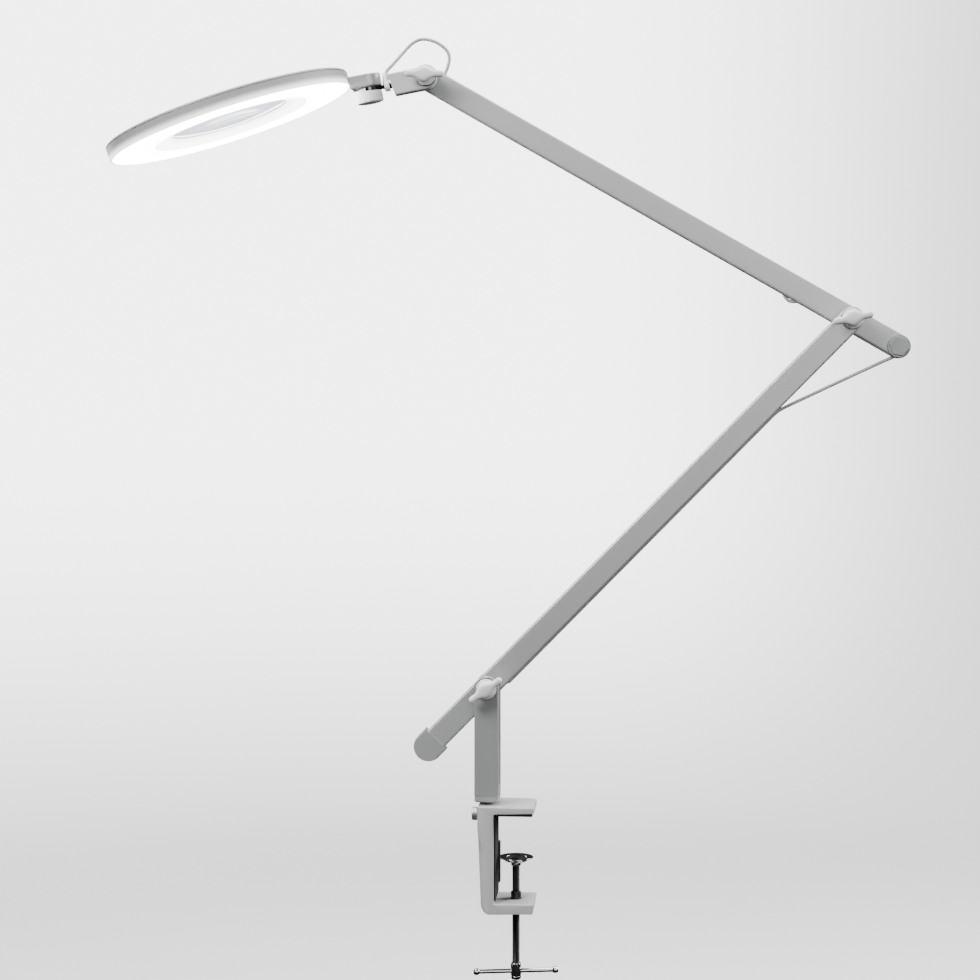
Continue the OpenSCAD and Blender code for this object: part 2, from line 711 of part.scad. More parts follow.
module upper_cable_run() {
    sag = arm_r + 2.4;
    mid = (window_a + window_b) / 2;
    half = (window_b - window_a) / 2;
    entry = [tail_x + 0.7, 0, -arm_r + 0.15];
    entry_angle = 54;
    stub = 0.9;
    bend_r = 3.2;
    into = [cos(entry_angle), 0, sin(entry_angle)];
    bend = entry + stub * into + bend_r * [-sin(entry_angle), 0, cos(entry_angle)];
    bends = [for (i = [0:5]) let (a = entry_angle - 90 + (180 - entry_angle) * i / 5)
        bend + bend_r * [cos(a), 0, sin(a)]];
    dips = [for (i = [0:6]) let (t = i / 3 - 1)
        [mid - t * (half - 2), 0, cable_lane - (sag + cable_lane) * (0.5 + 0.5 * cos(180 * t))]];
    color("gray") at_upper() translate([0, upper_y, 0]) swept_tube(concat(
        [entry], bends, [[tail_x - 7, 0, cable_lane + 0.8], [tail_x - 12, 0, cable_lane],
         [window_b + 4, 0, cable_lane]], dips,
        [[window_a - 4, 0, cable_lane], [exit_x + 22, 0, cable_lane], [exit_x + 12, 0, cable_lane + 1],
         [exit_x + 4, 0, cable_lane + 5], [exit_x, 0, 0], [exit_x, 0, arm_r - 3], [exit_x, 0, arm_r]]),
        cable_r - 0.05);
}
module head_cable_loop() {
    color("gray") swept_tube(loop_route, cable_r - 0.05);
}

// ---------- tilt block and swivel ----------

module tilt_block() {
    top = block_mid + block_h / 2;
    low = block_mid - block_h / 2;
    end_r = block_h / 2;
    color("gainsboro") at_block() difference() {
        intersection() {
            plate_y(arm_t) {
                polygon([[-block_len, top], [-block_len + block_cut, low], [-1, low], [-1, top]]);
                translate([-1, block_mid]) circle(end_r);
            }
            translate([0, 0, block_mid]) bar_x(-block_len, end_r, arm_t, block_h, 2);
        }
        rod_y(bolt_r + run, -arm_t, arm_t);
        translate([-block_len - eps, 0, block_mid]) rotate([0, 90, 0])
            cylinder(r = rod_r + run, h = block_len - rod_back + eps);
    }
}
module cable_collar() {
    color("white") at_block() difference() {
        union() {
            translate([-block_len - collar_t, 0, block_mid]) rotate([0, 90, 0])
                cylinder(r = collar_r, h = collar_t);
            translate([-block_len - 3.6, 0, block_mid + 2]) rotate(nozzle_turn)
                cylinder(r1 = 3.8, r2 = 2.8, h = nozzle_len);
        }
        translate([-block_len - 2 * collar_t, 0, block_mid]) rotate([0, 90, 0])
            cylinder(r = norm([rod_r, eye_t / 2]) + gap / 2, h = 3 * collar_t);
        translate([-block_len - 3.6, 0, block_mid + 2]) rotate(nozzle_turn)
            translate([0, 0, nozzle_len - 2]) cylinder(r = cable_r + 0.4, h = 4);
        block_nose();
    }
}
// space of the block's nose, so that the collar ends against it
module block_nose() {
    top = block_mid + block_h / 2;
    low = block_mid - block_h / 2;
    plate_y(2 * arm_t) polygon([[-block_len, top], [-block_len + block_cut, low], [0, low], [0, top]]);
}
module swivel_rod() {
    color("dimgray") at_rod() difference() {
        union() {
            translate([flat_end - swivel_x, 0, block_mid]) rotate([0, 90, 0])
                cylinder(r = rod_r, h = swivel_x - flat_end - rod_back - gap);
            translate([-swivel_x, -rod_r, block_mid - eye_t / 2]) cube([flat_end + eps, rod_d, eye_t]);
            translate([-swivel_x, 0, block_mid - eye_t / 2]) cylinder(r = eye_r, h = eye_t);
        }
        translate([-swivel_x, 0, block_mid - eye_t]) cylinder(r = bolt_r + run, h = 2 * eye_t);
        translate([flat_end - swivel_x + 1, 0, block_mid]) rotate([0, 90, 0])
            cylinder(r = rod_bore_r, h = swivel_x);
    }
}
module neck_knob() {
    edge = 1.2;
    color("white") at_swivel() {
        translate([0, 0, neck_knob_top - neck_knob_h]) rotate_extrude() polygon([
            [0, 0], [neck_knob_d / 2 - edge, 0], [neck_knob_d / 2, edge],
            [neck_knob_d / 2 - 0.8, neck_knob_h - edge], [neck_knob_d / 2 - 0.8 - edge, neck_knob_h],
            [0, neck_knob_h]]);
        translate([0, 0, neck_knob_top - eps]) cylinder(r = bolt_r, h = eye_t + 2 * gap + 9 + eps);
    }
}

// ---------- head ----------

module head_neck() {
    root = head_reach - head_r + 9;
    color("darkgray") difference() {
        at_swivel() difference() {
            union() {
                translate([0, 0, tab_low]) cylinder(r = tab_r, h = tab_h);
                translate([-root, -tab_r, tab_low]) cube([root, 2 * tab_r, tab_h]);
            }
            translate([0, 0, tab_low - eps]) cylinder(r = bolt_r + run, h = 10 + eps);
        }
        at_head() translate([0, 0, -20]) cylinder(r = head_r, h = 60);
    }
}
module head_housing() {
    wall_in = head_r - shell;
    color("darkgray") at_head() rotate_extrude($fn = 96) polygon([
        [wall_in, shell_low], [head_r - 0.6, shell_low], [head_r, shell_low + 0.6],
        [head_r, split - split_gap], [wall_in, split - split_gap], [wall_in, web_low + web_t],
        [lens_wall_r + 2, web_low + web_t], [lens_wall_r + 2, split - split_gap],
        [lens_wall_r, split - split_gap], [lens_wall_r, lens_seat], [lens_ledge_r, lens_seat],
        [lens_ledge_r, lens_z - 1.6], [lens_wall_r + 2, lens_z - 1.6], [lens_wall_r + 2, web_low],
        [wall_in, web_low]]);
}
module head_cover() {
    lip = 0.6;
    edge = 2.2;
    inner = lens_wall_r - 1.2;
    color("darkgray") at_head() difference() {
        rotate_extrude($fn = 96) polygon(concat(
            [[inner, head_h - cover_t], [lens_wall_r + 2, head_h - cover_t],
             [head_r - shell, head_h - cover_t], [head_r - shell, split],
             [head_r, split]],
            arc([head_r - edge, head_h - edge], edge, 0, 90, 8),
            [[inner + lip, head_h], [inner, head_h - lip]]));
        translate([button_at, 0, 0]) cylinder(r = button_r + 0.08, h = head_h + eps);
        screw_places() translate([0, 0, web_low]) cylinder(r = 1.6, h = head_h);
        screw_places() translate([0, 0, head_h - 1]) cylinder(r = 3.1, h = 2);
    }
}
module screw_places() {
    count = 6;
    for (k = [0:count - 1]) rotate(30 + 360 * k / count)
        translate([head_r - 29.2, 0, 0]) children();
}
module cover_screws() {
    color("silver") at_head() screw_places() {
        translate([0, 0, web_low + web_t]) cylinder(r = 1.5, h = head_h - 1 - web_low - web_t);
        translate([0, 0, head_h - 1]) difference() {
            cylinder(r = 3, h = 0.9);
            translate([0, 0, 0.3]) cylinder(r = 1.2, h = 2, $fn = 6);
        }
    }
}
module diffuser() {
    t = 2.2;
    low = 1;
    color("white") at_head() rotate_extrude($fn = 96) polygon([
        [ring_r + 0.3, low + 0.4], [ring_r + 0.8, low], [diffuser_out - 0.5, low], [diffuser_out, low + 0.4],
        [diffuser_out, low + t + 3], [diffuser_out - 1.2, low + t + 3], [diffuser_out - 1.2, low + t],
        [ring_r + 0.3, low + t]]);
}
module led_board() {
    color("ivory") at_head() translate([0, 0, web_low - board_t]) difference() {
        cylinder(r = board_out, h = board_t, $fn = 96);
        translate([0, 0, -eps]) cylinder(r = board_in, h = board_t + 2 * eps, $fn = 96);
    }
}
module led_chips() {
    chip = [2.8, 3.5, 0.8];
    rows = [for (share = [0.31, 0.71]) board_in + (board_out - board_in) * share];
    color("khaki") at_head() for (k = [0:led_count - 1])
        rotate((k + 0.5) * 360 / led_count)
            translate([rows[k % 2], 0, web_low - board_t - chip[2] / 2]) cube(chip, center = true);
}
module driver_board() {
    sweep = 46;
    choke_h = 1.4;
    base = web_low + web_t;
    chokes = [[button_at - 11, -14, 9], [button_at - 9, 13, 7], [button_at - 13, -6, 6]];
    color("seagreen") at_head() {
        translate([0, 0, base]) rotate(-sweep / 2) rotate_extrude(angle = sweep)
            translate([button_at - 20, 0]) square([26, board_t]);
        for (c = chokes) rotate(c[1]) translate([c[0], 0, base + board_t + choke_h / 2 - 0.1])
            cube([c[2], c[2], choke_h], center = true);
    }
}
module lens_bezel() {
    low = 0.9;
    color("white") at_head() rotate_extrude($fn = 96) polygon([
        [ring_r - 1.6, low], [ring_r, low], [ring_r, web_low - board_t],
        [ring_r - 1.4, web_low - board_t], [ring_r - 1.4, low + 1.4],
        [lens_ledge_r + 1.6, lens_z - 1.6], [lens_ledge_r - 0.4, lens_z - 1.6]]);
}
// height of a lens face above its edge at radius r
function lens_face(r) = sqrt(lens_curve * lens_curve - r * r) - lens_curve + lens_sag;
module lens() {
    steps = 10;
    radii = [for (i = [0:steps]) lens_r * i / steps];
    color("lightblue") at_head() rotate_extrude($fn = 96) polygon(concat(
        [for (r = radii) [r, lens_z - lens_face(r)]],
        [for (i = [steps:-1:0]) [radii[i], lens_z + lens_edge + lens_face(radii[i])]]));
}
module lens_retainer() {
    low = lens_z + lens_edge;
    top = split - split_gap;
    color("black") at_head() rotate_extrude($fn = 96) polygon([
        [lens_ledge_r, low + lens_face(lens_ledge_r) + 0.1], [lens_wall_r, low + 0.1],
        [lens_wall_r, top], [lens_ledge_r, top]]);
}
module button_switch() {
    base = web_low + web_t + board_t;
    color("black") at_head() translate([button_at, 0, base]) {
        translate([-3, -3, 0]) cube([6, 6, 0.6]);
        cylinder(r = 1.6, h = 0.8);
    }
}
module dimmer_button() {
    low = head_h - cover_t - 1;
    color("gainsboro") at_head() translate([button_at, 0, 0]) {
        translate([0, 0, low]) cylinder(r = button_r + 1, h = 0.8);
        translate([0, 0, low]) cylinder(r = button_r, h = head_h + 1.4 - low);
    }
}

clamp_body();
jaw_pad();
spine_pad();
screw_bush();
post_lock_screw();
pressure_pad();
clamp_screw();
tommy_bar();
post_fork();
post_foot();
post_spigot();
base_bolt();
base_washers();
base_knob_washer();
base_knob();
lower_arm();
lower_arm_bushes();
lower_tail_cap();
dc_inlet();
elbow_bolt();
elbow_washer();
elbow_knob_washer();
elbow_knob();
lower_cable_run();
elbow_cable_span();
upper_arm();
upper_arm_bushes();
upper_tail_cap();
tilt_bolt();
tilt_washer();
tilt_knob_washer();
tilt_knob();
cable_grommet();
upper_cable_run();
head_cable_loop();
tilt_block();
cable_collar();
swivel_rod();
neck_knob();
head_neck();
head_housing();
head_cover();
cover_screws();
diffuser();
led_board();
led_chips();
driver_board();
lens_bezel();
lens();
lens_retainer();
button_switch();
dimmer_button();
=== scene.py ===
"""Clamp-on magnifier lamp with a round LED head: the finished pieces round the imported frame.

Sizes are millimetres in the classes and metres in the meshes. Every piece keeps its object at the
origin, so its place is in its mesh.
"""

import json
import logging
import math
from dataclasses import dataclass, field
from enum import Enum

import bmesh
import bpy
import numpy as np
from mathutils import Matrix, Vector


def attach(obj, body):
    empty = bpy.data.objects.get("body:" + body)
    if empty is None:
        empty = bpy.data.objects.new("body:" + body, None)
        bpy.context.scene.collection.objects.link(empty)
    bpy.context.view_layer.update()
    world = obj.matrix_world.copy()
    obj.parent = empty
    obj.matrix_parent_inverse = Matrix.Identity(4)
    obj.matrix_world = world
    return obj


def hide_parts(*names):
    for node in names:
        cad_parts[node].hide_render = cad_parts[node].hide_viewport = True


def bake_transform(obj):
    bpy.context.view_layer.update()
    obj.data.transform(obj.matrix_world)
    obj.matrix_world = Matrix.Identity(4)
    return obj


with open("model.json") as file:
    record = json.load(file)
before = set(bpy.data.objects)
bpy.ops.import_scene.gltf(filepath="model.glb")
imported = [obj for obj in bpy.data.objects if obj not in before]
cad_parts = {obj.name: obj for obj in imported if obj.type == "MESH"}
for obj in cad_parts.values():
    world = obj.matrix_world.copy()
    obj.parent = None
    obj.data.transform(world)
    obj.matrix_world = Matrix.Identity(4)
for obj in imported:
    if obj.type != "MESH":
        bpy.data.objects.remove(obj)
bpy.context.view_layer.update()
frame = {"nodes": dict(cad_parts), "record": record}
LOG = logging.getLogger("magnifier_lamp")
MM = 0.001


# ---------------------------------------------------------------- places and surfaces


@dataclass(frozen=True, eq=False)
class Place:
    """A local frame: where it starts, in mm, and its three axes as the columns of a matrix."""

    origin: np.ndarray
    axes: np.ndarray

    def lamp(self, local: np.ndarray) -> np.ndarray:
        """Local points in mm as lamp points in metres."""
        return (np.asarray(local, float) @ self.axes.T + self.origin) * MM

    def moved(self, x: float = 0, y: float = 0, z: float = 0) -> "Place":
        """The same axes, started further along them."""
        return Place(self.origin + self.axes @ np.array([x, y, z], float), self.axes)

    def turned(self, axis: str, degrees: float) -> "Place":
        """The same origin, with the axes turned about one of them."""
        return Place(self.origin, self.axes @ turn(axis, degrees))


def turn(axis: str, degrees: float) -> np.ndarray:
    """The rotation matrix about x, y or z.

    Args:
        axis: "x", "y" or "z".
        degrees: The angle, counter-clockwise seen from the axis's tip.

    Returns:
        A 3 by 3 matrix whose columns are the turned axes.
    """
    c, s = math.cos(math.radians(degrees)), math.sin(math.radians(degrees))
    rows = {
        "x": [[1, 0, 0], [0, c, -s], [0, s, c]],
        "y": [[c, 0, s], [0, 1, 0], [-s, 0, c]],
        "z": [[c, -s, 0], [s, c, 0], [0, 0, 1]],
    }
    return np.array(rows[axis], float)


@dataclass(frozen=True)
class LampSizes:
    """The lamp's joint points and angles at rest, as its source has them."""

    post_x: float = -29.0
    pivot_z: float = 128.3
    lower_len: float = 521.0
    upper_len: float = 492.3
    lower_angle: float = 45.6
    upper_angle: float = 150.1
    head_angle: float = 10.5
    head_twist: float = 3.3
    head_pitch: float = 7.6
    block_mid: float = -2.0
    swivel_x: float = 60.0
    head_reach: float = 144.1
    head_sink: float = -10.1

    def at_base(self) -> Place:
        """The base pivot, with the lamp's own axes."""
        return Place(np.array([self.post_x, 0, self.pivot_z]), np.eye(3))

    def at_lower(self) -> Place:
        """The base pivot, with X along the lower arm."""
        return self.at_base().turned("y", -self.lower_angle)

    def at_elbow(self) -> Place:
        """The elbow pivot, with the lamp's own axes."""
        return Place(self.at_lower().moved(self.lower_len).origin, np.eye(3))

    def at_head_pivot(self) -> Place:
        """The pivot between the upper arm and the tilt block, with the lamp's own axes."""
        along = turn("y", -self.upper_angle) @ np.array([self.upper_len, 0, 0])
        return Place(self.at_elbow().origin + along, np.eye(3))

    def at_upper(self) -> Place:
        """The head pivot, with X back along the upper arm towards the elbow."""
        return self.at_head_pivot().turned("y", 180 - self.upper_angle)

    def at_block(self) -> Place:
        """The head pivot, with X along the tilt block away from the head."""
        return self.at_head_pivot().turned("y", -self.head_angle)

    def at_swivel(self) -> Place:
        """The head's swivel axis, level with the tilt block's middle line less its drop."""
        rod = self.at_block().moved(z=self.block_mid).turned("x", self.head_twist)
        return rod.moved(-self.swivel_x, 0, -self.block_mid)

    def at_head(self) -> Place:
        """The middle of the head's underside, with Z up through the lens."""
        foot = self.at_swivel().moved(-self.head_reach, 0, self.head_sink)
        return foot.turned("y", -self.head_pitch)


SIZES = LampSizes()
LAMP = Place(np.zeros(3), np.eye(3))


def grid_faces(rows: int, cols: int, wrap_rows: bool, wrap_cols: bool) -> np.ndarray:
    """Quads of a grid whose point (i, j) is number i * cols + j.

    Args:
        rows: Number of rows of points.
        cols: Number of points in a row.
        wrap_rows: Whether the last row joins the first.
        wrap_cols: Whether each row's last point joins its first.

    Returns:
        An array of quads, four point numbers each.
    """
    i = np.arange(rows if wrap_rows else rows - 1)[:, None]
    j = np.arange(cols if wrap_cols else cols - 1)[None, :]
    ni, nj = (i + 1) % rows, (j + 1) % cols
    quads = [i * cols + j, ni * cols + j, ni * cols + nj, i * cols + nj]
    return np.stack([q + 0 * (i + j) for q in quads], -1).reshape(-1, 4)


class Shell:
    """Collects surfaces of one piece and writes them as one closed mesh object."""

    def __init__(self, name: str) -> None:
        """Starts an empty piece."""
        self.name = name
        self.points: list[np.ndarray] = []
        self.faces: list[list[int]] = []

    def add(self, points: np.ndarray, faces: np.ndarray, caps: list[np.ndarray] | None = None) -> "Shell":
        """Adds one surface.

        Args:
            points: Its points, in metres.
            faces: Its quads, as numbers into points.
            caps: Rings of point numbers that close it with one face each.

        Returns:
            The same piece, so that calls can be chained.
        """
        start = sum(len(p) for p in self.points)
        self.points.append(np.asarray(points, float))
        self.faces += (np.asarray(faces) + start).tolist()
        self.faces += [(np.asarray(c) + start).tolist() for c in caps or []]
        return self

    def build(self, sharp: float = 35.0) -> bpy.types.Object:
        """Writes the mesh, closes its seams and poles, and turns its faces outwards.

        Args:
            sharp: Edges that fold by more than this many degrees stay crisp.

        Returns:
            The new object, at the origin.
        """
        mesh = bpy.data.meshes.new(self.name)
        mesh.from_pydata(np.concatenate(self.points).tolist(), [], self.faces)
        tidy_mesh(mesh, sharp)
        piece = bpy.data.objects.new(self.name, mesh)
        bpy.context.scene.collection.objects.link(piece)
        return piece


def tidy_mesh(mesh: bpy.types.Mesh, sharp: float, flatten: bool = False) -> None:
    """Merges points that coincide, drops faces without area and faces the rest outwards.

    Args:
        mesh: The mesh to tidy.
        sharp: Edges that fold by more than this many degrees stay crisp.
        flatten: Whether flat regions of triangles become single faces.
    """
    shape = bmesh.new()
    shape.from_mesh(mesh)
    bmesh.ops.remove_doubles(shape, verts=shape.verts, dist=2e-6)
    bmesh.ops.dissolve_degenerate(shape, edges=shape.edges, dist=1e-6)
    if flatten:
        bmesh.ops.dissolve_limit(shape, angle_limit=math.radians(0.6), verts=shape.verts, edges=shape.edges)
    else:
        bmesh.ops.recalc_face_normals(shape, faces=shape.faces)
    shape.to_mesh(mesh)
    shape.free()
    mesh.shade_smooth()
    mesh.set_sharp_from_angle(angle=math.radians(sharp))
    mesh.update()


def rounded(corners: list[tuple[float, float, float]], steps: int = 5) -> np.ndarray:
    """An outline whose corners are arcs tangent to both their edges.

    Args:
        corners: (x, y, radius) of each corner, in order round the outline; radius 0 stays crisp.
        steps: Number of stretches in an arc.

    Returns:
        The outline's points.
    """
    spots = np.array([c[:2] for c in corners], float)
    ring = []
    for k, (x, y, radius) in enumerate(corners):
        here = np.array([x, y], float)
        if radius <= 0:
            ring.append(here[None])
            continue
        back, ahead = spots[k - 1] - here, spots[(k + 1) % len(spots)] - here
        back, ahead = back / np.linalg.norm(back), ahead / np.linalg.norm(ahead)
        half = math.acos(float(np.clip(back @ ahead, -1, 1))) / 2
        middle = here + (back + ahead) / np.linalg.norm(back + ahead) * radius / math.sin(half)
        reach = radius / math.tan(half)
        start, end = here + back * reach - middle, here + ahead * reach - middle
        a0, a1 = math.atan2(start[1], start[0]), math.atan2(end[1], end[0])
        sweep = (a1 - a0 + math.pi) % (2 * math.pi) - math.pi
        a = a0 + sweep * np.linspace(0, 1, steps + 1)
        ring.append(middle + radius * np.stack([np.cos(a), np.sin(a)], -1))
    return np.concatenate(ring)


def revolved(profile: np.ndarray, segments: int = 64, flutes: int = 0, depth: float = 0.0,
             fluted: tuple[float, float] = (0.0, 0.0)) -> tuple[np.ndarray, np.ndarray]:
    """A closed outline in (radius, height) turned once round Z.

    A point is (r cos t, r sin t, z). With flutes, r is less by depth times half of one plus the
    cosine of flutes times t, between the two heights of fluted.

    Args:
        profile: The outline's (radius, height) points, in mm.
        segments: Number of steps round the axis.
        flutes: Number of grooves round the rim.
        depth: Depth of a groove, in mm.
        fluted: Lowest and highest height that the grooves reach.

    Returns:
        Points in mm and quads.
    """
    t = np.linspace(0, 2 * math.pi, segments, endpoint=False)[None, :]
    r, z = profile[:, :1], profile[:, 1:2]
    if flutes:
        rim = (r > 0.9 * profile[:, 0].max()) & (z > fluted[0]) & (z < fluted[1])
        r = r - rim * depth * (0.5 + 0.5 * np.cos(flutes * t))
    grid = np.stack([r * np.cos(t), r * np.sin(t), z + 0 * t], -1)
    return grid.reshape(-1, 3), grid_faces(len(profile), segments, True, True)


def prism(outline: np.ndarray, low: float, high: float, edge: float = 0.6, steps: int = 3,
          ) -> tuple[np.ndarray, np.ndarray, list[np.ndarray]]:
    """An outline in local x and y carried from low to high in z, with both rims rounded.

    At a rim the outline moves inwards by edge times one minus the sine of a, and towards the face
    by edge times the cosine of a, for a from a quarter turn to nothing.

    Args:
        outline: Points round the outline, in mm.
        low: Level of the lower face.
        high: Level of the upper face.
        edge: Radius of the rims.
        steps: Number of stretches in a rim.

    Returns:
        Points, quads and the two end caps.
    """
    ahead = np.roll(outline, -1, 0) - outline
    ahead /= np.linalg.norm(ahead, axis=1)[:, None]
    mean = ahead + np.roll(ahead, 1, 0)
    normal = np.stack([mean[:, 1], -mean[:, 0]], -1) / np.linalg.norm(mean, axis=1)[:, None]
    area = np.sum(outline[:, 0] * np.roll(outline[:, 1], -1) - np.roll(outline[:, 0], -1) * outline[:, 1])
    normal *= -math.copysign(1, area)
    a = np.linspace(0, math.pi / 2, steps + 1)
    inset = edge * (1 - np.sin(a))
    rise = edge * (1 - np.cos(a))
    insets = np.concatenate([inset, inset[::-1]])
    levels = np.concatenate([low + rise, high - rise[::-1]])
    flat = outline[None] + insets[:, None, None] * normal[None]
    grid = np.concatenate([flat, np.broadcast_to(levels[:, None, None], flat.shape[:2] + (1,))], -1)
    rows, cols = grid.shape[:2]
    ends = [np.arange(cols)[::-1], (rows - 1) * cols + np.arange(cols)]
    return grid.reshape(-1, 3), grid_faces(rows, cols, False, True), ends


def smooth_path(route: np.ndarray, spacing: float = 1.2) -> np.ndarray:
    """A Catmull-Rom curve through the points of a route, cut at even steps.

    Args:
        route: The route's points, in mm.
        spacing: Length of a step, in mm.

    Returns:
        The curve's points, in mm.
    """
    p = np.vstack([2 * route[0] - route[1], route, 2 * route[-1] - route[-2]])
    u = np.linspace(0, 1, 24, endpoint=False)[None, :, None]
    p0, p1, p2, p3 = (p[k:len(p) - 3 + k, None, :] for k in range(4))
    curve = 0.5 * (2 * p1 + (p2 - p0) * u + (2 * p0 - 5 * p1 + 4 * p2 - p3) * u**2
                   + (3 * p1 - p0 - 3 * p2 + p3) * u**3)
    curve = np.vstack([curve.reshape(-1, 3), route[-1]])
    run = np.concatenate([[0], np.cumsum(np.linalg.norm(np.diff(curve, axis=0), axis=1))])
    stops = np.linspace(0, run[-1], max(2, int(run[-1] / spacing) + 1))
    return np.stack([np.interp(stops, run, curve[:, k]) for k in range(3)], -1)


def tube(path: np.ndarray, radius: float, sides: int = 20) -> tuple[np.ndarray, np.ndarray]:
    """A round tube along a path, closed by a small dome at each end.

    A ring stands square to the path on two directions: the cross product of the tangent with Y,
    and the cross product of the tangent with that.

    Args:
        path: The middle line's points, in mm.
        radius: Radius of the tube, in mm.
        sides: Number of points round it.

    Returns:
        Points in mm and quads.
    """
    tangent = np.gradient(path, axis=0)
    tangent /= np.linalg.norm(tangent, axis=1)[:, None]
    a = np.linspace(math.pi / 2, 0, 5)[:-1]
    size = np.concatenate([np.cos(a), np.ones(len(path)), np.cos(a)[::-1]]) * radius
    size[[0, -1]] = 0
    lead = np.sin(a)[:, None] * radius * 0.5
    middle = np.vstack([path[0] - lead * tangent[0], path, path[-1] + lead[::-1] * tangent[-1]])
    tangent = np.vstack([np.repeat(tangent[:1], len(a), 0), tangent, np.repeat(tangent[-1:], len(a), 0)])
    side = np.cross(tangent, [0, 1, 0])
    side /= np.linalg.norm(side, axis=1)[:, None]
    up = np.cross(tangent, side)
    t = np.linspace(0, 2 * math.pi, sides, endpoint=False)[None, :, None]
    ring = side[:, None] * np.cos(t) + up[:, None] * np.sin(t)
    grid = middle[:, None] + size[:, None, None] * ring
    return grid.reshape(-1, 3), grid_faces(len(middle), sides, False, True)


# ---------------------------------------------------------------- finishes


class Signal:
    """One output of a material's nodes. Arithmetic on it adds the Math nodes."""

    def __init__(self, surface: "Surface", socket: bpy.types.NodeSocket) -> None:
        """Wraps a socket of a surface."""
        self.surface = surface
        self.socket = socket

    def _math(self, operation: str, *values: "Signal | float") -> "Signal":
        """A Math node on these values."""
        node = self.surface.node("ShaderNodeMath", {"operation": operation},
                                 **{f"i{k}": v for k, v in enumerate(values)})
        return Signal(self.surface, node.outputs[0])

    def __add__(self, other: "Signal | float") -> "Signal":
        """Sum."""
        return self._math("ADD", self, other)

    __radd__ = __add__

    def __mul__(self, other: "Signal | float") -> "Signal":
        """Product."""
        return self._math("MULTIPLY", self, other)

    __rmul__ = __mul__

    def __sub__(self, other: "Signal | float") -> "Signal":
        """Difference."""
        return self._math("SUBTRACT", self, other)

    def __rsub__(self, other: "Signal | float") -> "Signal":
        """Difference from a number."""
        return self._math("SUBTRACT", other, self)

    def __pow__(self, other: float) -> "Signal":
        """Power."""
        return self._math("POWER", self, other)

    def ramp(self, low: float, high: float) -> "Signal":
        """0 up to low and 1 from high on, smooth in between."""
        node = self.surface.node("ShaderNodeMapRange", {"interpolation_type": "SMOOTHSTEP"},
                                 Value=self, i1=low, i2=high)
        return Signal(self.surface, node.outputs[0])


class Surface:
    """A material under construction."""

    def __init__(self, name: str) -> None:
        """Starts the material with nothing but its output."""
        self.material = bpy.data.materials.new(name)
        self.material.use_nodes = True
        self.tree = self.material.node_tree
        self.tree.nodes.clear()
        self.out = self.node("ShaderNodeOutputMaterial")
        self.place = self.node("ShaderNodeTexCoord").outputs["Object"]

    def node(self, kind: str, settings: dict | None = None, **inputs: object) -> bpy.types.Node:
        """Adds a node.

        Args:
            kind: The node's type.
            settings: Its properties, set before its sockets.
            inputs: Values or links by socket name, with _ for a space, or i and the socket's number.

        Returns:
            The node.
        """
        node = self.tree.nodes.new(kind)
        for key, value in (settings or {}).items():
            setattr(node, key, value)
        for key, value in inputs.items():
            numbered = key[0] == "i" and key[1:].isdigit()
            socket = node.inputs[int(key[1:]) if numbered else key.replace("_", " ")]
            source = value.socket if isinstance(value, Signal) else value
            if isinstance(source, bpy.types.NodeSocket):
                self.tree.links.new(source, socket)
            else:
                socket.default_value = source
        return node

    def grain(self, size: float, detail: float = 2.0, stretch: tuple[float, float, float] = (1, 1, 1),
              lie: float = 0.0) -> Signal:
        """Noise whose blotches are about size mm across.

        Args:
            size: Size of a blotch, in mm.
            detail: Number of finer layers.
            stretch: How much longer the blotches are along each axis.
            lie: Degrees that the axes are turned about Y, so that X runs along an arm.

        Returns:
            The noise, about 0.5 on average.
        """
        turned = self.node("ShaderNodeMapping", {"vector_type": "TEXTURE"}, Vector=self.place,
                           Rotation=(0, math.radians(lie), 0), Scale=stretch)
        noise = self.node("ShaderNodeTexNoise", None, Vector=turned.outputs[0],
                          Scale=1 / (size * MM), Detail=detail, Roughness=0.55)
        return Signal(self, noise.outputs[0])

    def spaced(self, place: Place) -> tuple[Signal, Signal, Signal]:
        """The three local coordinates of a place, in metres, as signals."""
        centre = self.node("ShaderNodeVectorMath", {"operation": "SUBTRACT"}, i0=self.place,
                           i1=tuple(place.origin * MM))
        found = []
        for axis in place.axes.T:
            dot = self.node("ShaderNodeVectorMath", {"operation": "DOT_PRODUCT"},
                            i0=centre.outputs[0], i1=tuple(axis))
            found.append(Signal(self, dot.outputs["Value"]))
        return found[0], found[1], found[2]

    def blend(self, low: tuple, high: tuple, share: Signal) -> bpy.types.NodeSocket:
        """A colour from low to high as share goes from 0 to 1."""
        node = self.node("ShaderNodeMix", {"data_type": "RGBA"}, Factor=share)
        for socket, colour in zip([s for s in node.inputs if s.type == "RGBA"], (low, high)):
            socket.default_value = (*colour[:3], 1)
        return next(s for s in node.outputs if s.type == "RGBA")

    def relief(self, height: Signal, depth: float) -> bpy.types.NodeSocket:
        """A normal that follows a height, whose whole range is depth mm."""
        node = self.node("ShaderNodeBump", None, Height=height, Strength=1.0, Distance=depth * MM)
        return node.outputs["Normal"]

    def finish(self, **inputs: object) -> bpy.types.Material:
        """Joins one shader with these inputs to the output and returns the material."""
        shader = self.node("ShaderNodeBsdfPrincipled", None, **inputs)
        self.tree.links.new(shader.outputs[0], self.out.inputs["Surface"])
        return self.material


def shade(colour: tuple, by: float) -> tuple:
    """A colour made lighter or darker by a factor."""
    return tuple(min(1.0, c * by) for c in colour)


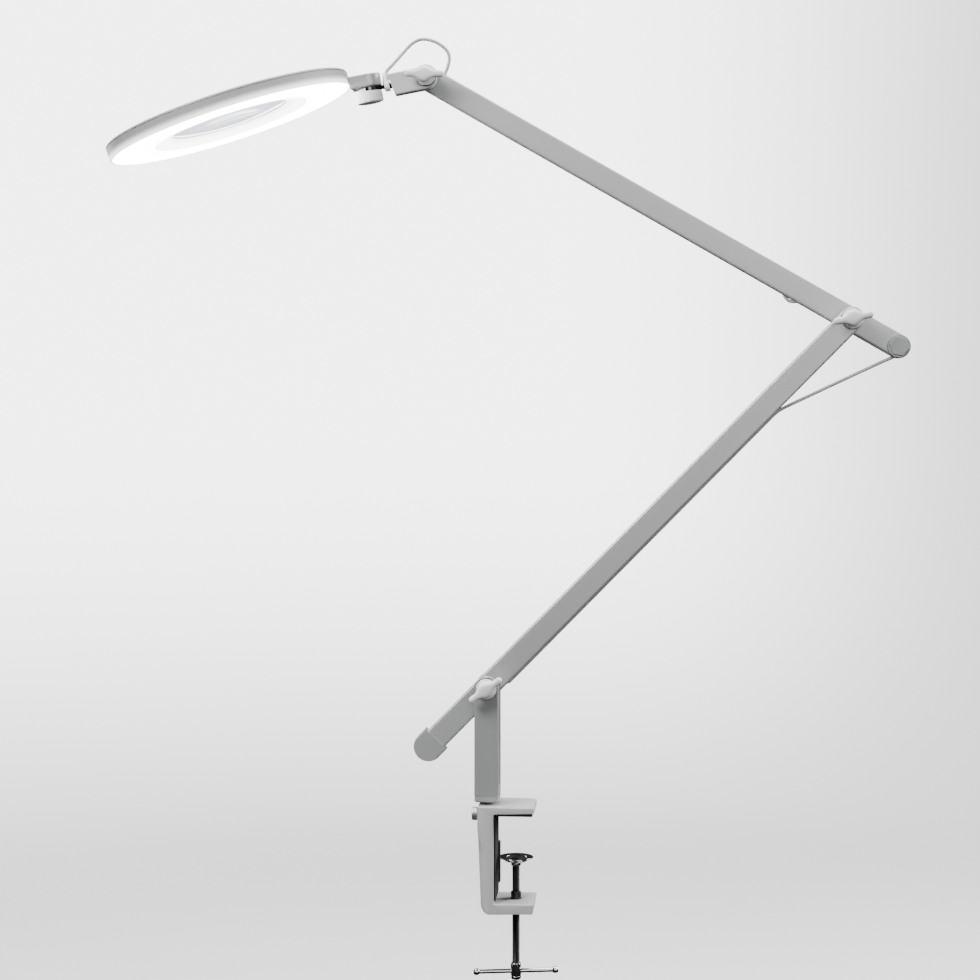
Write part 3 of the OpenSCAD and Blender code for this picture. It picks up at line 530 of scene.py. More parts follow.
@dataclass(frozen=True)
class PaintFinish:
    """Sprayed paint or powder coat: faint orange peel, cloudy sheen and a little handling wear."""

    name: str
    colour: tuple[float, float, float]
    roughness: float = 0.42
    metallic: float = 0.0
    peel: float = 0.9
    peel_depth: float = 0.02
    coat: float = 0.15

    def make(self) -> bpy.types.Material:
        """Builds the material."""
        s = Surface(self.name)
        cloud, fine = s.grain(38, 3), s.grain(self.peel, 2)
        smudge = s.grain(9, 4).ramp(0.52, 0.74)
        return s.finish(
            Base_Color=s.blend(shade(self.colour, 0.93), shade(self.colour, 1.06), cloud * 0.7 + fine * 0.3),
            Roughness=self.roughness - 0.07 + 0.1 * cloud + 0.06 * smudge,
            Metallic=self.metallic, Coat_Weight=self.coat, Coat_Roughness=0.25,
            Normal=s.relief(fine, self.peel_depth))


@dataclass(frozen=True)
class ExtrudedFinish:
    """Satin metal with fine lines along the extrusion and soft rolling clouds across it."""

    name: str
    colour: tuple[float, float, float]
    lie: float
    roughness: float = 0.38
    metallic: float = 0.3

    def make(self) -> bpy.types.Material:
        """Builds the material."""
        s = Surface(self.name)
        lines = s.grain(0.32, 2, (90, 1, 1), self.lie)
        long_cloud = s.grain(26, 3, (5, 1, 1), self.lie)
        speck = s.grain(0.6, 1)
        tone = 0.45 * lines + 0.4 * long_cloud + 0.15 * speck
        return s.finish(
            Base_Color=s.blend(shade(self.colour, 0.88), shade(self.colour, 1.1), tone),
            Roughness=self.roughness - 0.06 + 0.12 * lines + 0.05 * long_cloud,
            Metallic=self.metallic, Normal=s.relief(lines * 0.7 + speck * 0.3, 0.012))


@dataclass(frozen=True)
class BareMetalFinish:
    """Plated, oxidised or polished metal, with turning marks and faint smears."""

    name: str
    colour: tuple[float, float, float]
    roughness: float
    marks: float = 0.01
    smear: float = 0.12

    def make(self) -> bpy.types.Material:
        """Builds the material."""
        s = Surface(self.name)
        fine, cloud = s.grain(0.25, 2, (1, 1, 0.2)), s.grain(7, 4)
        smear = cloud.ramp(0.45, 0.75)
        return s.finish(
            Base_Color=s.blend(shade(self.colour, 0.84), shade(self.colour, 1.05), 0.6 * cloud + 0.4 * fine),
            Roughness=self.roughness + self.smear * smear + 0.04 * fine, Metallic=1.0,
            Normal=s.relief(fine, self.marks))


@dataclass(frozen=True)
class PlasticFinish:
    """Moulded plastic: spark-eroded grain, or none, and faint flow clouds."""

    name: str
    colour: tuple[float, float, float]
    roughness: float = 0.45
    grain: float = 0.35
    depth: float = 0.02
    softness: float = 0.0

    def make(self) -> bpy.types.Material:
        """Builds the material."""
        s = Surface(self.name)
        grain, cloud = s.grain(self.grain, 3), s.grain(15, 3)
        rub = s.grain(4, 3).ramp(0.55, 0.8)
        return s.finish(
            Base_Color=s.blend(shade(self.colour, 0.94), shade(self.colour, 1.05), 0.6 * cloud + 0.4 * grain),
            Roughness=self.roughness - 0.05 + 0.1 * grain - 0.06 * rub,
            Subsurface_Weight=self.softness, Subsurface_Radius=(0.002, 0.002, 0.002),
            Normal=s.relief(grain, self.depth))


@dataclass(frozen=True)
class RubberFinish:
    """Black rubber: matt, dusty in places, with a fine sheet grain."""

    name: str
    colour: tuple[float, float, float] = (0.018, 0.018, 0.019)

    def make(self) -> bpy.types.Material:
        """Builds the material."""
        s = Surface(self.name)
        grain, dust = s.grain(0.5, 4), s.grain(6, 5).ramp(0.5, 0.85)
        return s.finish(Base_Color=s.blend(self.colour, (0.07, 0.07, 0.068), dust * 0.6),
                        Roughness=0.72 + 0.15 * grain, Normal=s.relief(grain, 0.05))


@dataclass(frozen=True)
class LitFinish:
    """Opal plastic that glows: the lit ring's own light, and painted glow where it dresses the bezel and the
    lens retainer, which give no light. Whitest along the middle of the ring, softer at its rims.
    """

    name: str
    inner: float
    outer: float
    strength: float
    fall: float = 0.1

    def make(self) -> bpy.types.Material:
        """Builds the material."""
        s = Surface(self.name)
        x, y, _ = s.spaced(SIZES.at_head())
        radius = (x * x + y * y) ** 0.5
        rise = radius.ramp(self.inner * MM, self.inner * MM + 0.012)
        fade = 1 - radius.ramp(self.outer * MM - 0.008, self.outer * MM)
        milk = s.grain(2.5, 3)
        glow = (1 - self.fall) + self.fall * (rise * fade)
        return s.finish(
            Base_Color=s.blend((0.86, 0.87, 0.88), (0.92, 0.92, 0.92), milk),
            Emission_Color=s.blend((0, 0, 0), (1.0, 1.0, 1.0), glow), Emission_Strength=self.strength,
            Roughness=0.4 + 0.1 * milk, Normal=s.relief(milk, 0.01))


@dataclass(frozen=True)
class PaintedGlowShellFinish:
    """Grey moulding with painted glow: emission that brightens towards its lower edge and round the lens
    seat, standing in for the lit ring's light on it.
    """

    name: str
    colour: tuple[float, float, float]
    reach: float
    strength: float = 3.0
    core: float = 0.28
    roughness: float = 0.42

    def make(self) -> bpy.types.Material:
        """Builds the material."""
        s = Surface(self.name)
        x, y, z = s.spaced(SIZES.at_head())
        cloud, grain = s.grain(15, 3), s.grain(1.5, 2)
        # Painted glow: emission that rises towards the lower edge, fading over reach mm, and inside the
        # lens-seat radius.
        inside = self.core * (1 - ((x * x + y * y) ** 0.5).ramp(0.066, 0.07))
        glow = (1 - z.ramp(0.0, self.reach * MM)) ** 1.6 * (0.9 + 0.2 * cloud) + inside
        return s.finish(
            Base_Color=s.blend(shade(self.colour, 0.94), shade(self.colour, 1.05), 0.6 * cloud + 0.4 * grain),
            Emission_Color=s.blend((0, 0, 0), (1, 1, 1), glow), Emission_Strength=self.strength,
            Roughness=self.roughness - 0.05 + 0.1 * grain, Normal=s.relief(grain, 0.003))


@dataclass(frozen=True)
class LensFinish:
    """Ground crown glass with a cool tint and a breath of haze, with a painted glow and painted reflection
    streaks over it.
    """

    name: str

    def make(self) -> bpy.types.Material:
        """Builds the material."""
        s = Surface(self.name)
        # The streaks are painted reflections, in both the base colour and the emission; the emission is
        # painted glow.
        haze, painted_streak = s.grain(14, 4), s.grain(5, 3, (7, 1, 1), 18)
        glow = 0.75 + 0.5 * painted_streak.ramp(0.4, 0.7)
        return s.finish(Base_Color=s.blend((0.40, 0.43, 0.46), (0.52, 0.55, 0.58), 0.5 * haze + 0.5 * painted_streak),
                        Emission_Color=s.blend((0, 0, 0), (0.84, 0.90, 1.0), glow), Emission_Strength=0.7,
                        Roughness=0.015 + 0.03 * haze.ramp(0.5, 0.8),
                        Transmission_Weight=1.0, IOR=1.52)


@dataclass(frozen=True)
class BoardFinish:
    """Solder mask with a pattern of copper paths under it."""

    name: str
    colour: tuple[float, float, float]
    metal: float = 0.0

    def make(self) -> bpy.types.Material:
        """Builds the material."""
        s = Surface(self.name)
        cells = s.node("ShaderNodeTexVoronoi", {"feature": "DISTANCE_TO_EDGE"}, Vector=s.place, Scale=260.0)
        paths = Signal(s, cells.outputs[0]).ramp(0.03, 0.06)
        grain = s.grain(0.8, 2)
        return s.finish(Base_Color=s.blend(shade(self.colour, 0.75), self.colour, paths),
                        Roughness=0.35 + 0.15 * grain, Metallic=self.metal,
                        Normal=s.relief(paths, 0.02))


LIE_LOWER, LIE_UPPER = -SIZES.lower_angle, 180 - SIZES.upper_angle
FINISHES = {
    "clamp_paint": PaintFinish("clamp_powder_coat", (0.55, 0.555, 0.56)),
    "black_rubber": RubberFinish("black_rubber"),
    "black_steel": BareMetalFinish("black_oxide_steel", (0.05, 0.05, 0.054), 0.34, 0.02),
    "chrome": BareMetalFinish("chrome_plate", (0.62, 0.625, 0.635), 0.14, 0.004, 0.06),
    "nickel": BareMetalFinish("nickel_plate", (0.72, 0.72, 0.73), 0.42),
    "satin_aluminium": ExtrudedFinish("satin_upright", (0.42, 0.425, 0.43), 90),
    "grey_plastic": PlasticFinish("grey_moulding", (0.34, 0.345, 0.35)),
    "bush_plastic": PlasticFinish("bush_plastic", (0.06, 0.06, 0.06), 0.4),
    "knob_plastic": PlasticFinish("knob_plastic", (0.84, 0.845, 0.85), 0.27, 0.5, 0.008, 0.05),
    "block_paint": PaintFinish("casting_paint", (0.60, 0.605, 0.61), 0.36, 0.2, 0.7, 0.015),
    "white_plastic": PlasticFinish("white_plastic", (0.85, 0.85, 0.85), 0.3, 0.4, 0.008, 0.15),
    "cable_grey": PlasticFinish("cable_jacket", (0.46, 0.465, 0.47), 0.36, 1.5, 0.001),
    "head_shell": PlasticFinish("head_shell_plastic", (0.37, 0.375, 0.38), 0.42, 0.4, 0.015),
    "lit_diffuser": LitFinish("lit_opal", 81.3, 125.5, 16.0),
    "board_white": BoardFinish("led_board_mask", (0.80, 0.80, 0.77)),
    "led_phosphor": PlasticFinish("led_phosphor", (0.85, 0.72, 0.22), 0.3, 0.3, 0.01),
    "board_green": BoardFinish("driver_board_mask", (0.02, 0.20, 0.08)),
    "lens_glass": LensFinish("lens_glass"),
    "black_plastic": PlasticFinish("black_moulding", (0.022, 0.022, 0.023), 0.5),
}
OWN_FINISHES = {
    "lower_arm": ExtrudedFinish("satin_lower_arm", (0.47, 0.475, 0.48), LIE_LOWER),
    "upper_arm": ExtrudedFinish("satin_upper_arm", (0.50, 0.505, 0.51), LIE_UPPER),
    # The bezel and the retainer are no lamps: their emission is painted glow.
    "lens_bezel": LitFinish("bezel_painted_glow", 60.0, 84.0, 8.0, 0.3),
    "lens_retainer": LitFinish("retainer_painted_glow", 60.0, 84.0, 0.9, 0.3),
    # The head shell's emission is painted glow along its lower edge and round the lens seat.
    "head_housing": PaintedGlowShellFinish("shell_painted_glow", (0.37, 0.375, 0.38), 10.0),
    "head_neck": PaintFinish("neck_paint", (0.46, 0.465, 0.47), 0.3, 0.15, 0.7, 0.015),
    "head_cover": PlasticFinish("head_cover_plastic", (0.37, 0.375, 0.38), 0.42, 1.5, 0.003),
    "post_fork": ExtrudedFinish("satin_fork", (0.39, 0.395, 0.40), 90),
    # The rod's chrome is darkened to paint the dark reflection it shows.
    "swivel_rod": BareMetalFinish("chrome_painted_dark_reflection", (0.16, 0.16, 0.165), 0.14, 0.004, 0.05),
}
SLOT_OF = {row["node"]: row["material_slot"] for row in frame["record"]["subparts"]}


class FinishShelf:
    """Makes each finish once and hands it out by CAD node."""

    def __init__(self) -> None:
        """Starts with nothing made."""
        self.made: dict[str, bpy.types.Material] = {}

    def of(self, node: str) -> bpy.types.Material:
        """The material of a CAD node, from its own finish or else its slot's."""
        recipe = OWN_FINISHES.get(node) or FINISHES[SLOT_OF[node]]
        if recipe.name not in self.made:
            self.made[recipe.name] = recipe.make()
        return self.made[recipe.name]


SHELF = FinishShelf()
BODY_OF = {n: body for body, nodes in frame["record"]["behaviour"]["bodies"].items() for n in nodes}


def settle(piece: bpy.types.Object, *nodes: str, body: str | None = None) -> bpy.types.Object:
    """Gives a piece the finish and slot of its first CAD node, and lets it stand for all of them.

    Args:
        piece: The new piece.
        nodes: The CAD nodes that it replaces.
        body: The body that it rides on; None leaves it on no body.

    Returns:
        The piece.
    """
    piece.data.materials.clear()
    piece.data.materials.append(SHELF.of(nodes[0]))
    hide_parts(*nodes)
    if body:
        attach(piece, body)
    LOG.info("%s: %d faces, stands for %s", piece.name, len(piece.data.polygons), ", ".join(nodes))
    return piece


def softened(node: str, edge: float = 0.4, steps: int = 2, fold: float = 32.0) -> bpy.types.Object:
    """A CAD node's own shape with merged points, smooth curved faces and rounded edges.

    Args:
        node: The CAD node.
        edge: Width of the rounding, in mm; 0 leaves the edges crisp.
        steps: Number of stretches in the rounding.
        fold: Edges that fold by more than this many degrees are rounded.

    Returns:
        The finished piece.
    """
    mesh = frame["nodes"][node].data.copy()
    mesh.name = node + "_finished"
    if mesh.has_custom_normals:
        mesh.attributes.remove(mesh.attributes["custom_normal"])
    tidy_mesh(mesh, 28.0, flatten=True)
    piece = bpy.data.objects.new(node + "_finished", mesh)
    bpy.context.scene.collection.objects.link(piece)
    if edge:
        bevel = piece.modifiers.new("rounded_edges", "BEVEL")
        bevel.width, bevel.segments = edge * MM, steps
        bevel.limit_method, bevel.angle_limit = "ANGLE", math.radians(fold)
        bevel.harden_normals = True
        bevel.miter_outer = "MITER_ARC"
    return settle(piece, node, body=BODY_OF[node])


# ---------------------------------------------------------------- cords


class Lay(Enum):
    """How a free stretch of cable lies."""

    TAUT = "taut"
    LOOSE = "loose"


@dataclass
class LampCable:
    """The grey two-core cable: its runs inside the arms and its two free stretches."""

    diameter: float = 3.4
    span_route: tuple = ((258.2, 0, 404), (260, 0, 405.8), (262, 0.1, 407.5), (264.6, 0.2, 409.3),
                         (268, 0.5, 411.2), (273, 1, 413.7), (285, 2.5, 419.4), (300, 4.2, 426.5),
                         (315, 6, 433.6), (330, 7.8, 440.6), (345, 9.6, 447.6), (355, 10.9, 452.2),
                         (365, 12.3, 456.8), (371.6, 13.3, 459.7), (377.7, 13.5, 462.4))
    loop_route: tuple = ((-73.8, 13.5, 749.7), (-71.4, 13.5, 755), (-69.6, 13.5, 760.6),
                         (-68.8, 13.5, 766), (-69.9, 13.4, 771), (-73.2, 13.2, 775.8),
                         (-78.5, 12.8, 780), (-84.8, 12, 783.2), (-92, 11.2, 785),
                         (-98.6, 10.2, 784.6), (-104.2, 9.2, 782), (-109, 7.8, 777.8),
                         (-114.5, 6.4, 771.6), (-120, 5, 765), (-124.6, 3.9, 759.8),
                         (-128.2, 3.1, 755.9), (-130.6, 2.6, 753.1), (-131.9, 2.2, 751),
                         (-132.4, 1.9, 749.6), (-132.5, 1.7, 748.3))
    groove_end: float = 399.0
    groove_z: float = -12.25
    lane: float = -7.65
    tail_x: float = 547.3
    window: tuple = (412.3, 446.3)
    exit_x: float = 13.3

    def free_stretch(self, name: str, route: tuple, node: str,
                     ) -> bpy.types.Object:
        """Builds a stretch that hangs between two bodies and is fixed to neither.

        Args:
            name: The piece's name.
            route: Its points, in mm.
            node: The CAD node that it replaces.

        Returns:
            The piece.
        """
        path = smooth_path(np.array(route, float))
        points, faces = tube(path, self.diameter / 2)
        piece = settle(Shell(name).add(points * MM, faces).build(60), node)
        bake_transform(piece)
        return piece

    def held_run(self, name: str, place: Place, route: np.ndarray, node: str) -> bpy.types.Object:
        """Builds a stretch that an arm holds all the way."""
        points, faces = tube(smooth_path(np.array(route, float), 1.6), self.diameter / 2 - 0.03, 16)
        return settle(Shell(name).add(place.lamp(points), faces).build(60), node, body=BODY_OF[node])

    def build(self) -> None:
        """Builds all four stretches, the free ones first."""
        self.free_stretch("elbow_cable", self.span_route, "elbow_cable_span")
        self.free_stretch("head_cable", self.loop_route, "head_cable_loop")
        g, lane = self.groove_z, self.lane
        self.held_run("lower_cable", SIZES.at_lower(), [
            (-83.7, 0, -1.5), (-80.7, 0, -1.5), (-77.7, 0, -3.4), (-74.7, 0, lane + 0.6), (-70, 0, lane),
            (0, 0, lane), (10, 0, lane), (15, 0, lane - 1.4), (19, 0, g + 0.2), (23, 0, g),
            (60, 0, g), (200, 0, g), (self.groove_end - 30, 0, g), (self.groove_end - 1.3, 0, g)],
            "lower_cable_run")
        t = np.linspace(-1, 1, 9)
        low, high = self.window
        half = (high - low) / 2 - 2
        sag = 14.4
        dip = (sag + lane) * (0.5 + 0.5 * np.cos(math.pi * t))
        dips = np.stack([(low + high) / 2 - t * half, 0 * t, lane - dip], -1)
        tail = self.tail_x
        end = [(low - 4, 0, lane), (self.exit_x + 22, 0, lane), (self.exit_x + 12, 0, lane + 1),
               (self.exit_x + 4, 0, lane + 5), (self.exit_x, 0, 0), (self.exit_x, 0, 9), (self.exit_x, 0, 12)]
        start = [(tail + 0.7, 0, -11.85), (tail + 1.23, 0, -11.12), (tail + 1.7, 0, -9.2),
                 (tail + 0.9, 0, -7.2), (tail - 1.4, 0, -6.04), (tail - 4, 0, -6.3),
                 (tail - 7, 0, lane + 0.8), (tail - 12, 0, lane), (high + 20, 0, lane), (high + 4, 0, lane)]
        self.held_run("upper_cable", SIZES.at_upper().moved(y=13.5),
                      np.vstack([start, dips, end]), "upper_cable_run")


# ---------------------------------------------------------------- clamp


@dataclass
class ClampFrame:
    """The cast C-shaped frame with its rubber linings."""

    depth: float = 56.0
    spine_out: float = -37.5
    spine_in: float = -21.0
    tip: float = 20.0
    top: float = 10.0
    jaw_under: float = 2.2
    draft: float = 1.2
    low_jaw: float = -88.5
    foot: float = -99.5
    lean: float = 3.2
    corner: float = 9.0

    def outline(self) -> np.ndarray:
        """The C seen from the front, with soft corners, its long edges cut into stretches of 6 mm."""
        ring = rounded([
            (self.spine_out, self.top, 1.4), (self.spine_out, -12, 30),
            (self.spine_out + self.lean, self.foot, 9.5), (self.tip - 1.5, self.foot + 1.2, 1.8),
            (self.tip, self.low_jaw, 1.5), (self.spine_in, self.low_jaw, 1.8),
            (self.spine_in, self.jaw_under, 1.8), (self.tip, self.jaw_under + self.draft, 1.5),
            (self.tip, self.top - 0.8, 1.8)], 6)
        ahead = np.roll(ring, -1, 0)
        counts = np.ceil(np.linalg.norm(ahead - ring, axis=1) / 6).astype(int)
        start = np.repeat(np.cumsum(counts) - counts, counts)
        share = ((np.arange(counts.sum()) - start) / np.repeat(counts, counts))[:, None]
        return np.repeat(ring, counts, 0) * (1 - share) + np.repeat(ahead, counts, 0) * share

    def casting(self) -> bpy.types.Object:
        """The frame: the outline carried across the depth, with its rims and corners eased.

        At depth y a point's x is not less than the rounded back corner's, which grows from nothing
        under the lock screw to its full radius lower down, and not more than the tip's.
        """
        outline = self.outline()
        points, _, _ = prism(outline, -self.depth / 2, self.depth / 2, 1.0, 4)
        rows = 26
        body = points.reshape(-1, len(outline), 3)
        middle = np.linspace(0, 1, rows)[1:-1, None, None]
        body = np.concatenate([body[:5], body[4] * (1 - middle) + body[5] * middle, body[5:]])
        x, z, y = body[..., 0], body[..., 1], body[..., 2]
        half = self.depth / 2
        into = np.clip(np.abs(y) - (half - self.corner), 0, self.corner)
        round_in = self.corner - np.sqrt(np.clip(self.corner**2 - into**2, 0, None))
        low = np.clip((-14 - z) / 26, 0, 1)
        left = self.spine_out + round_in * low * low * (3 - 2 * low)
        tip_in = np.clip(np.abs(y) - (half - 4), 0, 4)
        right = self.tip - (4 - np.sqrt(np.clip(16 - tip_in**2, 0, None)))
        lean = np.clip((-12 - z) / (-12 - self.foot), 0, 1) * self.lean
        x = np.maximum(x, left + lean)
        x = np.minimum(x, right)
        body = np.stack([x, y, z], -1)
        cols = len(outline)
        ends = [np.arange(cols)[::-1], (len(body) - 1) * cols + np.arange(cols)]
        skin = grid_faces(len(body), cols, False, True)
        shell = Shell("clamp_casting").add(body.reshape(-1, 3) * MM, skin, ends)
        return settle(shell.build(40), "clamp_body", body="clamp")

    def build(self) -> None:
        """Builds the frame and its linings."""
        self.casting()
        softened("jaw_pad", 0.5)
        softened("spine_pad", 0.35)
        softened("post_lock_screw", 0.5, 3)


@dataclass
class ClampScrew:
    """The threaded clamp screw, its dish, bush and sliding bar."""

    radius: float = 4.0
    pitch: float = 1.25
    depth: float = 0.62
    top: float = -54.7
    low: float = -154.4
    barrel: float = 17.5
    barrel_r: float = 5.2
    rim: float = -45.4
    bar_z: float = -163.15
    bar_turn: float = 9.6
    bar_len: float = 87.0
    bar_r: float = 2.2

    def screw(self) -> bpy.types.Object:
        """The screw: its thread is the radius less depth times a rounded wave of height and turn.

        The wave's phase is height over pitch less one whole turn of the angle, so the ridge climbs
        one pitch in a turn.
        """
        turns = (self.top - self.low) / self.pitch
        rows, cols = int(turns * 9), 40
        z = np.linspace(self.low, self.top, rows)[:, None]
        t = np.linspace(0, 2 * math.pi, cols, endpoint=False)[None, :]
        wave = np.abs(((z / self.pitch - t / (2 * math.pi)) % 1) * 2 - 1)
        fade = np.clip(np.minimum(z - self.low, self.top - z) / 1.5, 0, 1)
        r = self.radius - self.depth * (1 - np.clip(wave * 1.25 - 0.1, 0, 1)) * fade - 0.15 * (1 - fade)
        grid = np.stack([r * np.cos(t), r * np.sin(t), z + 0 * t], -1)
        caps = [np.arange(cols)[::-1], (rows - 1) * cols + np.arange(cols)]
        skin = grid_faces(rows, cols, False, True)
        shell = Shell("threaded_screw").add(grid.reshape(-1, 3) * MM, skin, caps)
        stud = rounded([(0, self.top - 1, 0), (3, self.top - 1, 0), (3, self.rim - 2.9, 0),
                        (4.4, self.rim - 2.9, 0.2), (4.4, self.rim - 1.7, 0.5), (0, self.rim - 1.5, 0)], 3)
        points, faces = revolved(stud, 40)
        shell.add(points * MM, faces)
        return settle(shell.build(50), "clamp_screw", body="screw")

    def foot_barrel(self) -> bpy.types.Object:
        """The bright barrel at the screw's foot, with a turned waist line."""
        low, r = self.low - self.barrel, self.barrel_r
        line = rounded([(0, low, 0), (r, low, 2.2), (r, low + 3.4, 0.2), (r - 0.35, low + 3.7, 0.2),
                        (r - 0.35, low + 4.3, 0.2), (r, low + 4.6, 0.2), (r, self.low, 0.9),
                        (0, self.low, 0)], 5)
        points, faces = revolved(line, 72)
        piece = Shell("screw_barrel").add(points * MM, faces).build(40)
        piece.data.materials.append(SHELF.of("tommy_bar"))
        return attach(piece, "screw")

    def dish(self) -> bpy.types.Object:
        """The flared dish: a thin turned wall from the hub out to a rolled rim."""
        z = self.rim
        line = rounded([(3.05, z - 9, 0.3), (5, z - 9, 0.5), (5, z - 6.4, 1.5), (11, z - 4.4, 3.5),
                        (13.4, z - 2.1, 1.5), (17.1, z - 1.15, 0.5), (17.7, z - 0.6, 0.4), (17.5, z, 0.35),
                        (12.2, z - 0.3, 1.0), (11, z - 0.9, 0.6), (9.4, z - 3.2, 1.2),
                        (3.05, z - 3.2, 0.3)], 6)
        points, faces = revolved(line, 96)
        return settle(Shell("pressure_dish").add(points * MM, faces).build(60), "pressure_pad", body="pad")

    def dish_liner(self) -> bpy.types.Object:
        """A black cushion set into the dish round the rivet: a dark part that paints the shade in the dish's
        hollow.
        """
        z = self.rim
        line = rounded([(4.6, z - 3.1, 0), (9.2, z - 3.1, 0.2), (10.7, z - 1.2, 0.3), (10.4, z - 0.95, 0.2),
                        (8.6, z - 2.3, 0.8), (4.6, z - 2.5, 0.2)], 4)
        points, faces = revolved(line, 72)
        piece = Shell("dish_liner").add(points * MM, faces).build(40)
        piece.data.materials.append(SHELF.of("jaw_pad"))
        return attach(piece, "pad")

    def bar(self) -> bpy.types.Object:
        """The sliding bar: a rod whose radius swells into a turned acorn at each end."""
        half, r = self.bar_len / 2, self.bar_r
        line = rounded([(0, -half, 0), (2.4, -half, 0.9), (3.4, -half + 1.8, 1.0), (3.4, -half + 4.4, 0.8),
                        (r, -half + 6, 0.5), (r, half - 6, 0.5), (3.4, half - 4.4, 0.8),
                        (3.4, half - 1.8, 1.0), (2.4, half, 0.9), (0, half, 0)], 5)
        points, faces = revolved(line, 40)
        place = Place(np.array([0, 0, self.bar_z]), np.eye(3)).turned("z", self.bar_turn).turned("y", 90)
        shell = Shell("sliding_bar").add(place.lamp(points), faces)
        return settle(shell.build(60), "tommy_bar", body="t_bar")

    def bush(self) -> bpy.types.Object:
        """The black bush in the lower jaw, with a flange above it and a lip under it."""
        line = rounded([(4.05, -99.9, 0.3), (6.2, -99.9, 0.4), (6.2, -88.5, 0), (6.2, -88.1, 0.2),
                        (5.2, -87.9, 0.2), (5.2, -81, 0.6), (4.05, -81, 0.3)], 3)
        points, faces = revolved(line, 64)
        return settle(Shell("jaw_bush").add(points * MM, faces).build(40), "screw_bush", body="clamp")

    def build(self) -> None:
        """Builds the screw and all that rides with it."""
        for make in (self.screw, self.foot_barrel, self.dish, self.dish_liner, self.bar, self.bush):
            make()


# ---------------------------------------------------------------- pivots and arms


@dataclass
class WingKnob:
    """A moulded wing knob: a thick S-curved bar that melts into a round flange."""

    name: str
    node: str
    body: str
    seat: Place
    turned: float
    span: float = 40.0
    wing: float = 7.0
    flange: float = 21.0
    height: float = 13.0
    thick: float = 8.0
    bulge: float = 4.3
    bulge_half: float = 11.5

    def wings(self) -> tuple[np.ndarray, np.ndarray]:
        """The wings, as a rounded section carried along the bar.

        At x the section is h cos(t)^p high and d sin(t)^p thick, signs kept, with p 0.85. Its half
        height h is half the wing plus a cosine bulge in the middle, and shrinks as a circle does
        over each end. Its half thickness d is a little less at the ends.
        """
        reach = self.span / 2
        x = reach * np.sin(np.linspace(-math.pi / 2, math.pi / 2, 81))[:, None]
        bump = np.where(np.abs(x) < self.bulge_half,
                        self.bulge * (0.5 + 0.5 * np.cos(math.pi * x / self.bulge_half)), 0)
        end = np.clip((np.abs(x) - (reach - self.wing / 2)) / (self.wing / 2), 0, 1)
        cap = np.sqrt(np.clip(1 - end**2, 0, 1))
        h = (self.wing / 2 + bump) * cap
        d = self.thick / 2 * (1 - 0.14 * (x / reach) ** 2) * cap**0.6
        t = np.linspace(0, 2 * math.pi, 40, endpoint=False)[None, :]
        y = h * np.sign(np.cos(t)) * np.abs(np.cos(t)) ** 0.85
        z = self.height - self.thick / 2 + d * np.sign(np.sin(t)) * np.abs(np.sin(t)) ** 0.85
        grid = np.stack([x + 0 * t, y, z], -1) @ turn("z", self.turned).T
        return grid.reshape(-1, 3), grid_faces(len(x), 40, False, True)

    def build(self) -> bpy.types.Object:
        """Builds the knob and melts its two surfaces into one skin."""
        outward = Place(self.seat.origin, self.seat.axes @ turn("x", 90))
        half = self.flange / 2
        line = rounded([(0, 0, 0), (half, 0, 0.5), (half, 2.5, 0.9), (8.4, 2.8, 1.4), (5.6, 6.2, 2),
                        (4.6, self.height - 2.4, 1.5), (0, self.height - 2, 0)], 5)
        hub, hub_faces = revolved(line, 72)
        wings, wing_faces = self.wings()
        shell = Shell(self.name).add(outward.lamp(hub), hub_faces)
        piece = shell.add(outward.lamp(wings), wing_faces).build()
        skin = piece.modifiers.new("one_skin", "REMESH")
        skin.mode, skin.voxel_size, skin.use_smooth_shade = "VOXEL", 0.42 * MM, True
        ease = piece.modifiers.new("eased", "SMOOTH")
        ease.factor, ease.iterations = 0.5, 7
        melted = bpy.data.meshes.new_from_object(piece.evaluated_get(bpy.context.evaluated_depsgraph_get()))
        piece.modifiers.clear()
        piece.data = melted
        melted.name = self.name
        melted.shade_smooth()
        return settle(piece, self.node, body=self.body)


@dataclass
class PostAndPivots:
    """The forked post, its foot and spigot, and the bolts and washers of the three pivots."""

    cheek_y: float = 19.0
    half_t: float = 6.0
    washer: float = 1.2
    gap: float = 0.3

    def build(self) -> None:
        """Builds the post, the small turned parts and the wing knobs."""
        softened("post_fork", 0.9, 3, 50)
        softened("post_foot", 0.3)
        softened("post_spigot", 0.3)
        for node in ("base_bolt", "elbow_bolt", "tilt_bolt"):
            softened(node, 0.35)
        for node in ("base_washers", "base_knob_washer", "elbow_washer", "elbow_knob_washer",
                     "tilt_washer", "tilt_knob_washer"):
            softened(node, 0.2)
        under = self.washer + self.gap
        WingKnob("base_wing_knob", "base_knob", "base_wing",
                 SIZES.at_base().moved(y=-self.cheek_y - under), 36).build()
        WingKnob("elbow_wing_knob", "elbow_knob", "elbow_wing",
                 SIZES.at_elbow().moved(y=-self.half_t - under), 11).build()
        WingKnob("tilt_wing_knob", "tilt_knob", "tilt_wing",
                 SIZES.at_head_pivot().moved(y=-self.half_t - under - self.gap), -1.5).build()


@dataclass
class Arms:
    """The two flat extrusions with their bushes, end caps and cable fittings."""

    nodes: tuple = (("lower_arm", 0.25), ("upper_arm", 0.25), ("lower_arm_bushes", 0.15),
                    ("upper_arm_bushes", 0.15), ("lower_tail_cap", 0.5), ("upper_tail_cap", 0.4),
                    ("dc_inlet", 0.2), ("cable_grommet", 0.2))

    def build(self) -> None:
        """Builds every piece of both arms."""
        for node, edge in self.nodes:
            softened(node, edge)


# ---------------------------------------------------------------- tilt block, neck and head


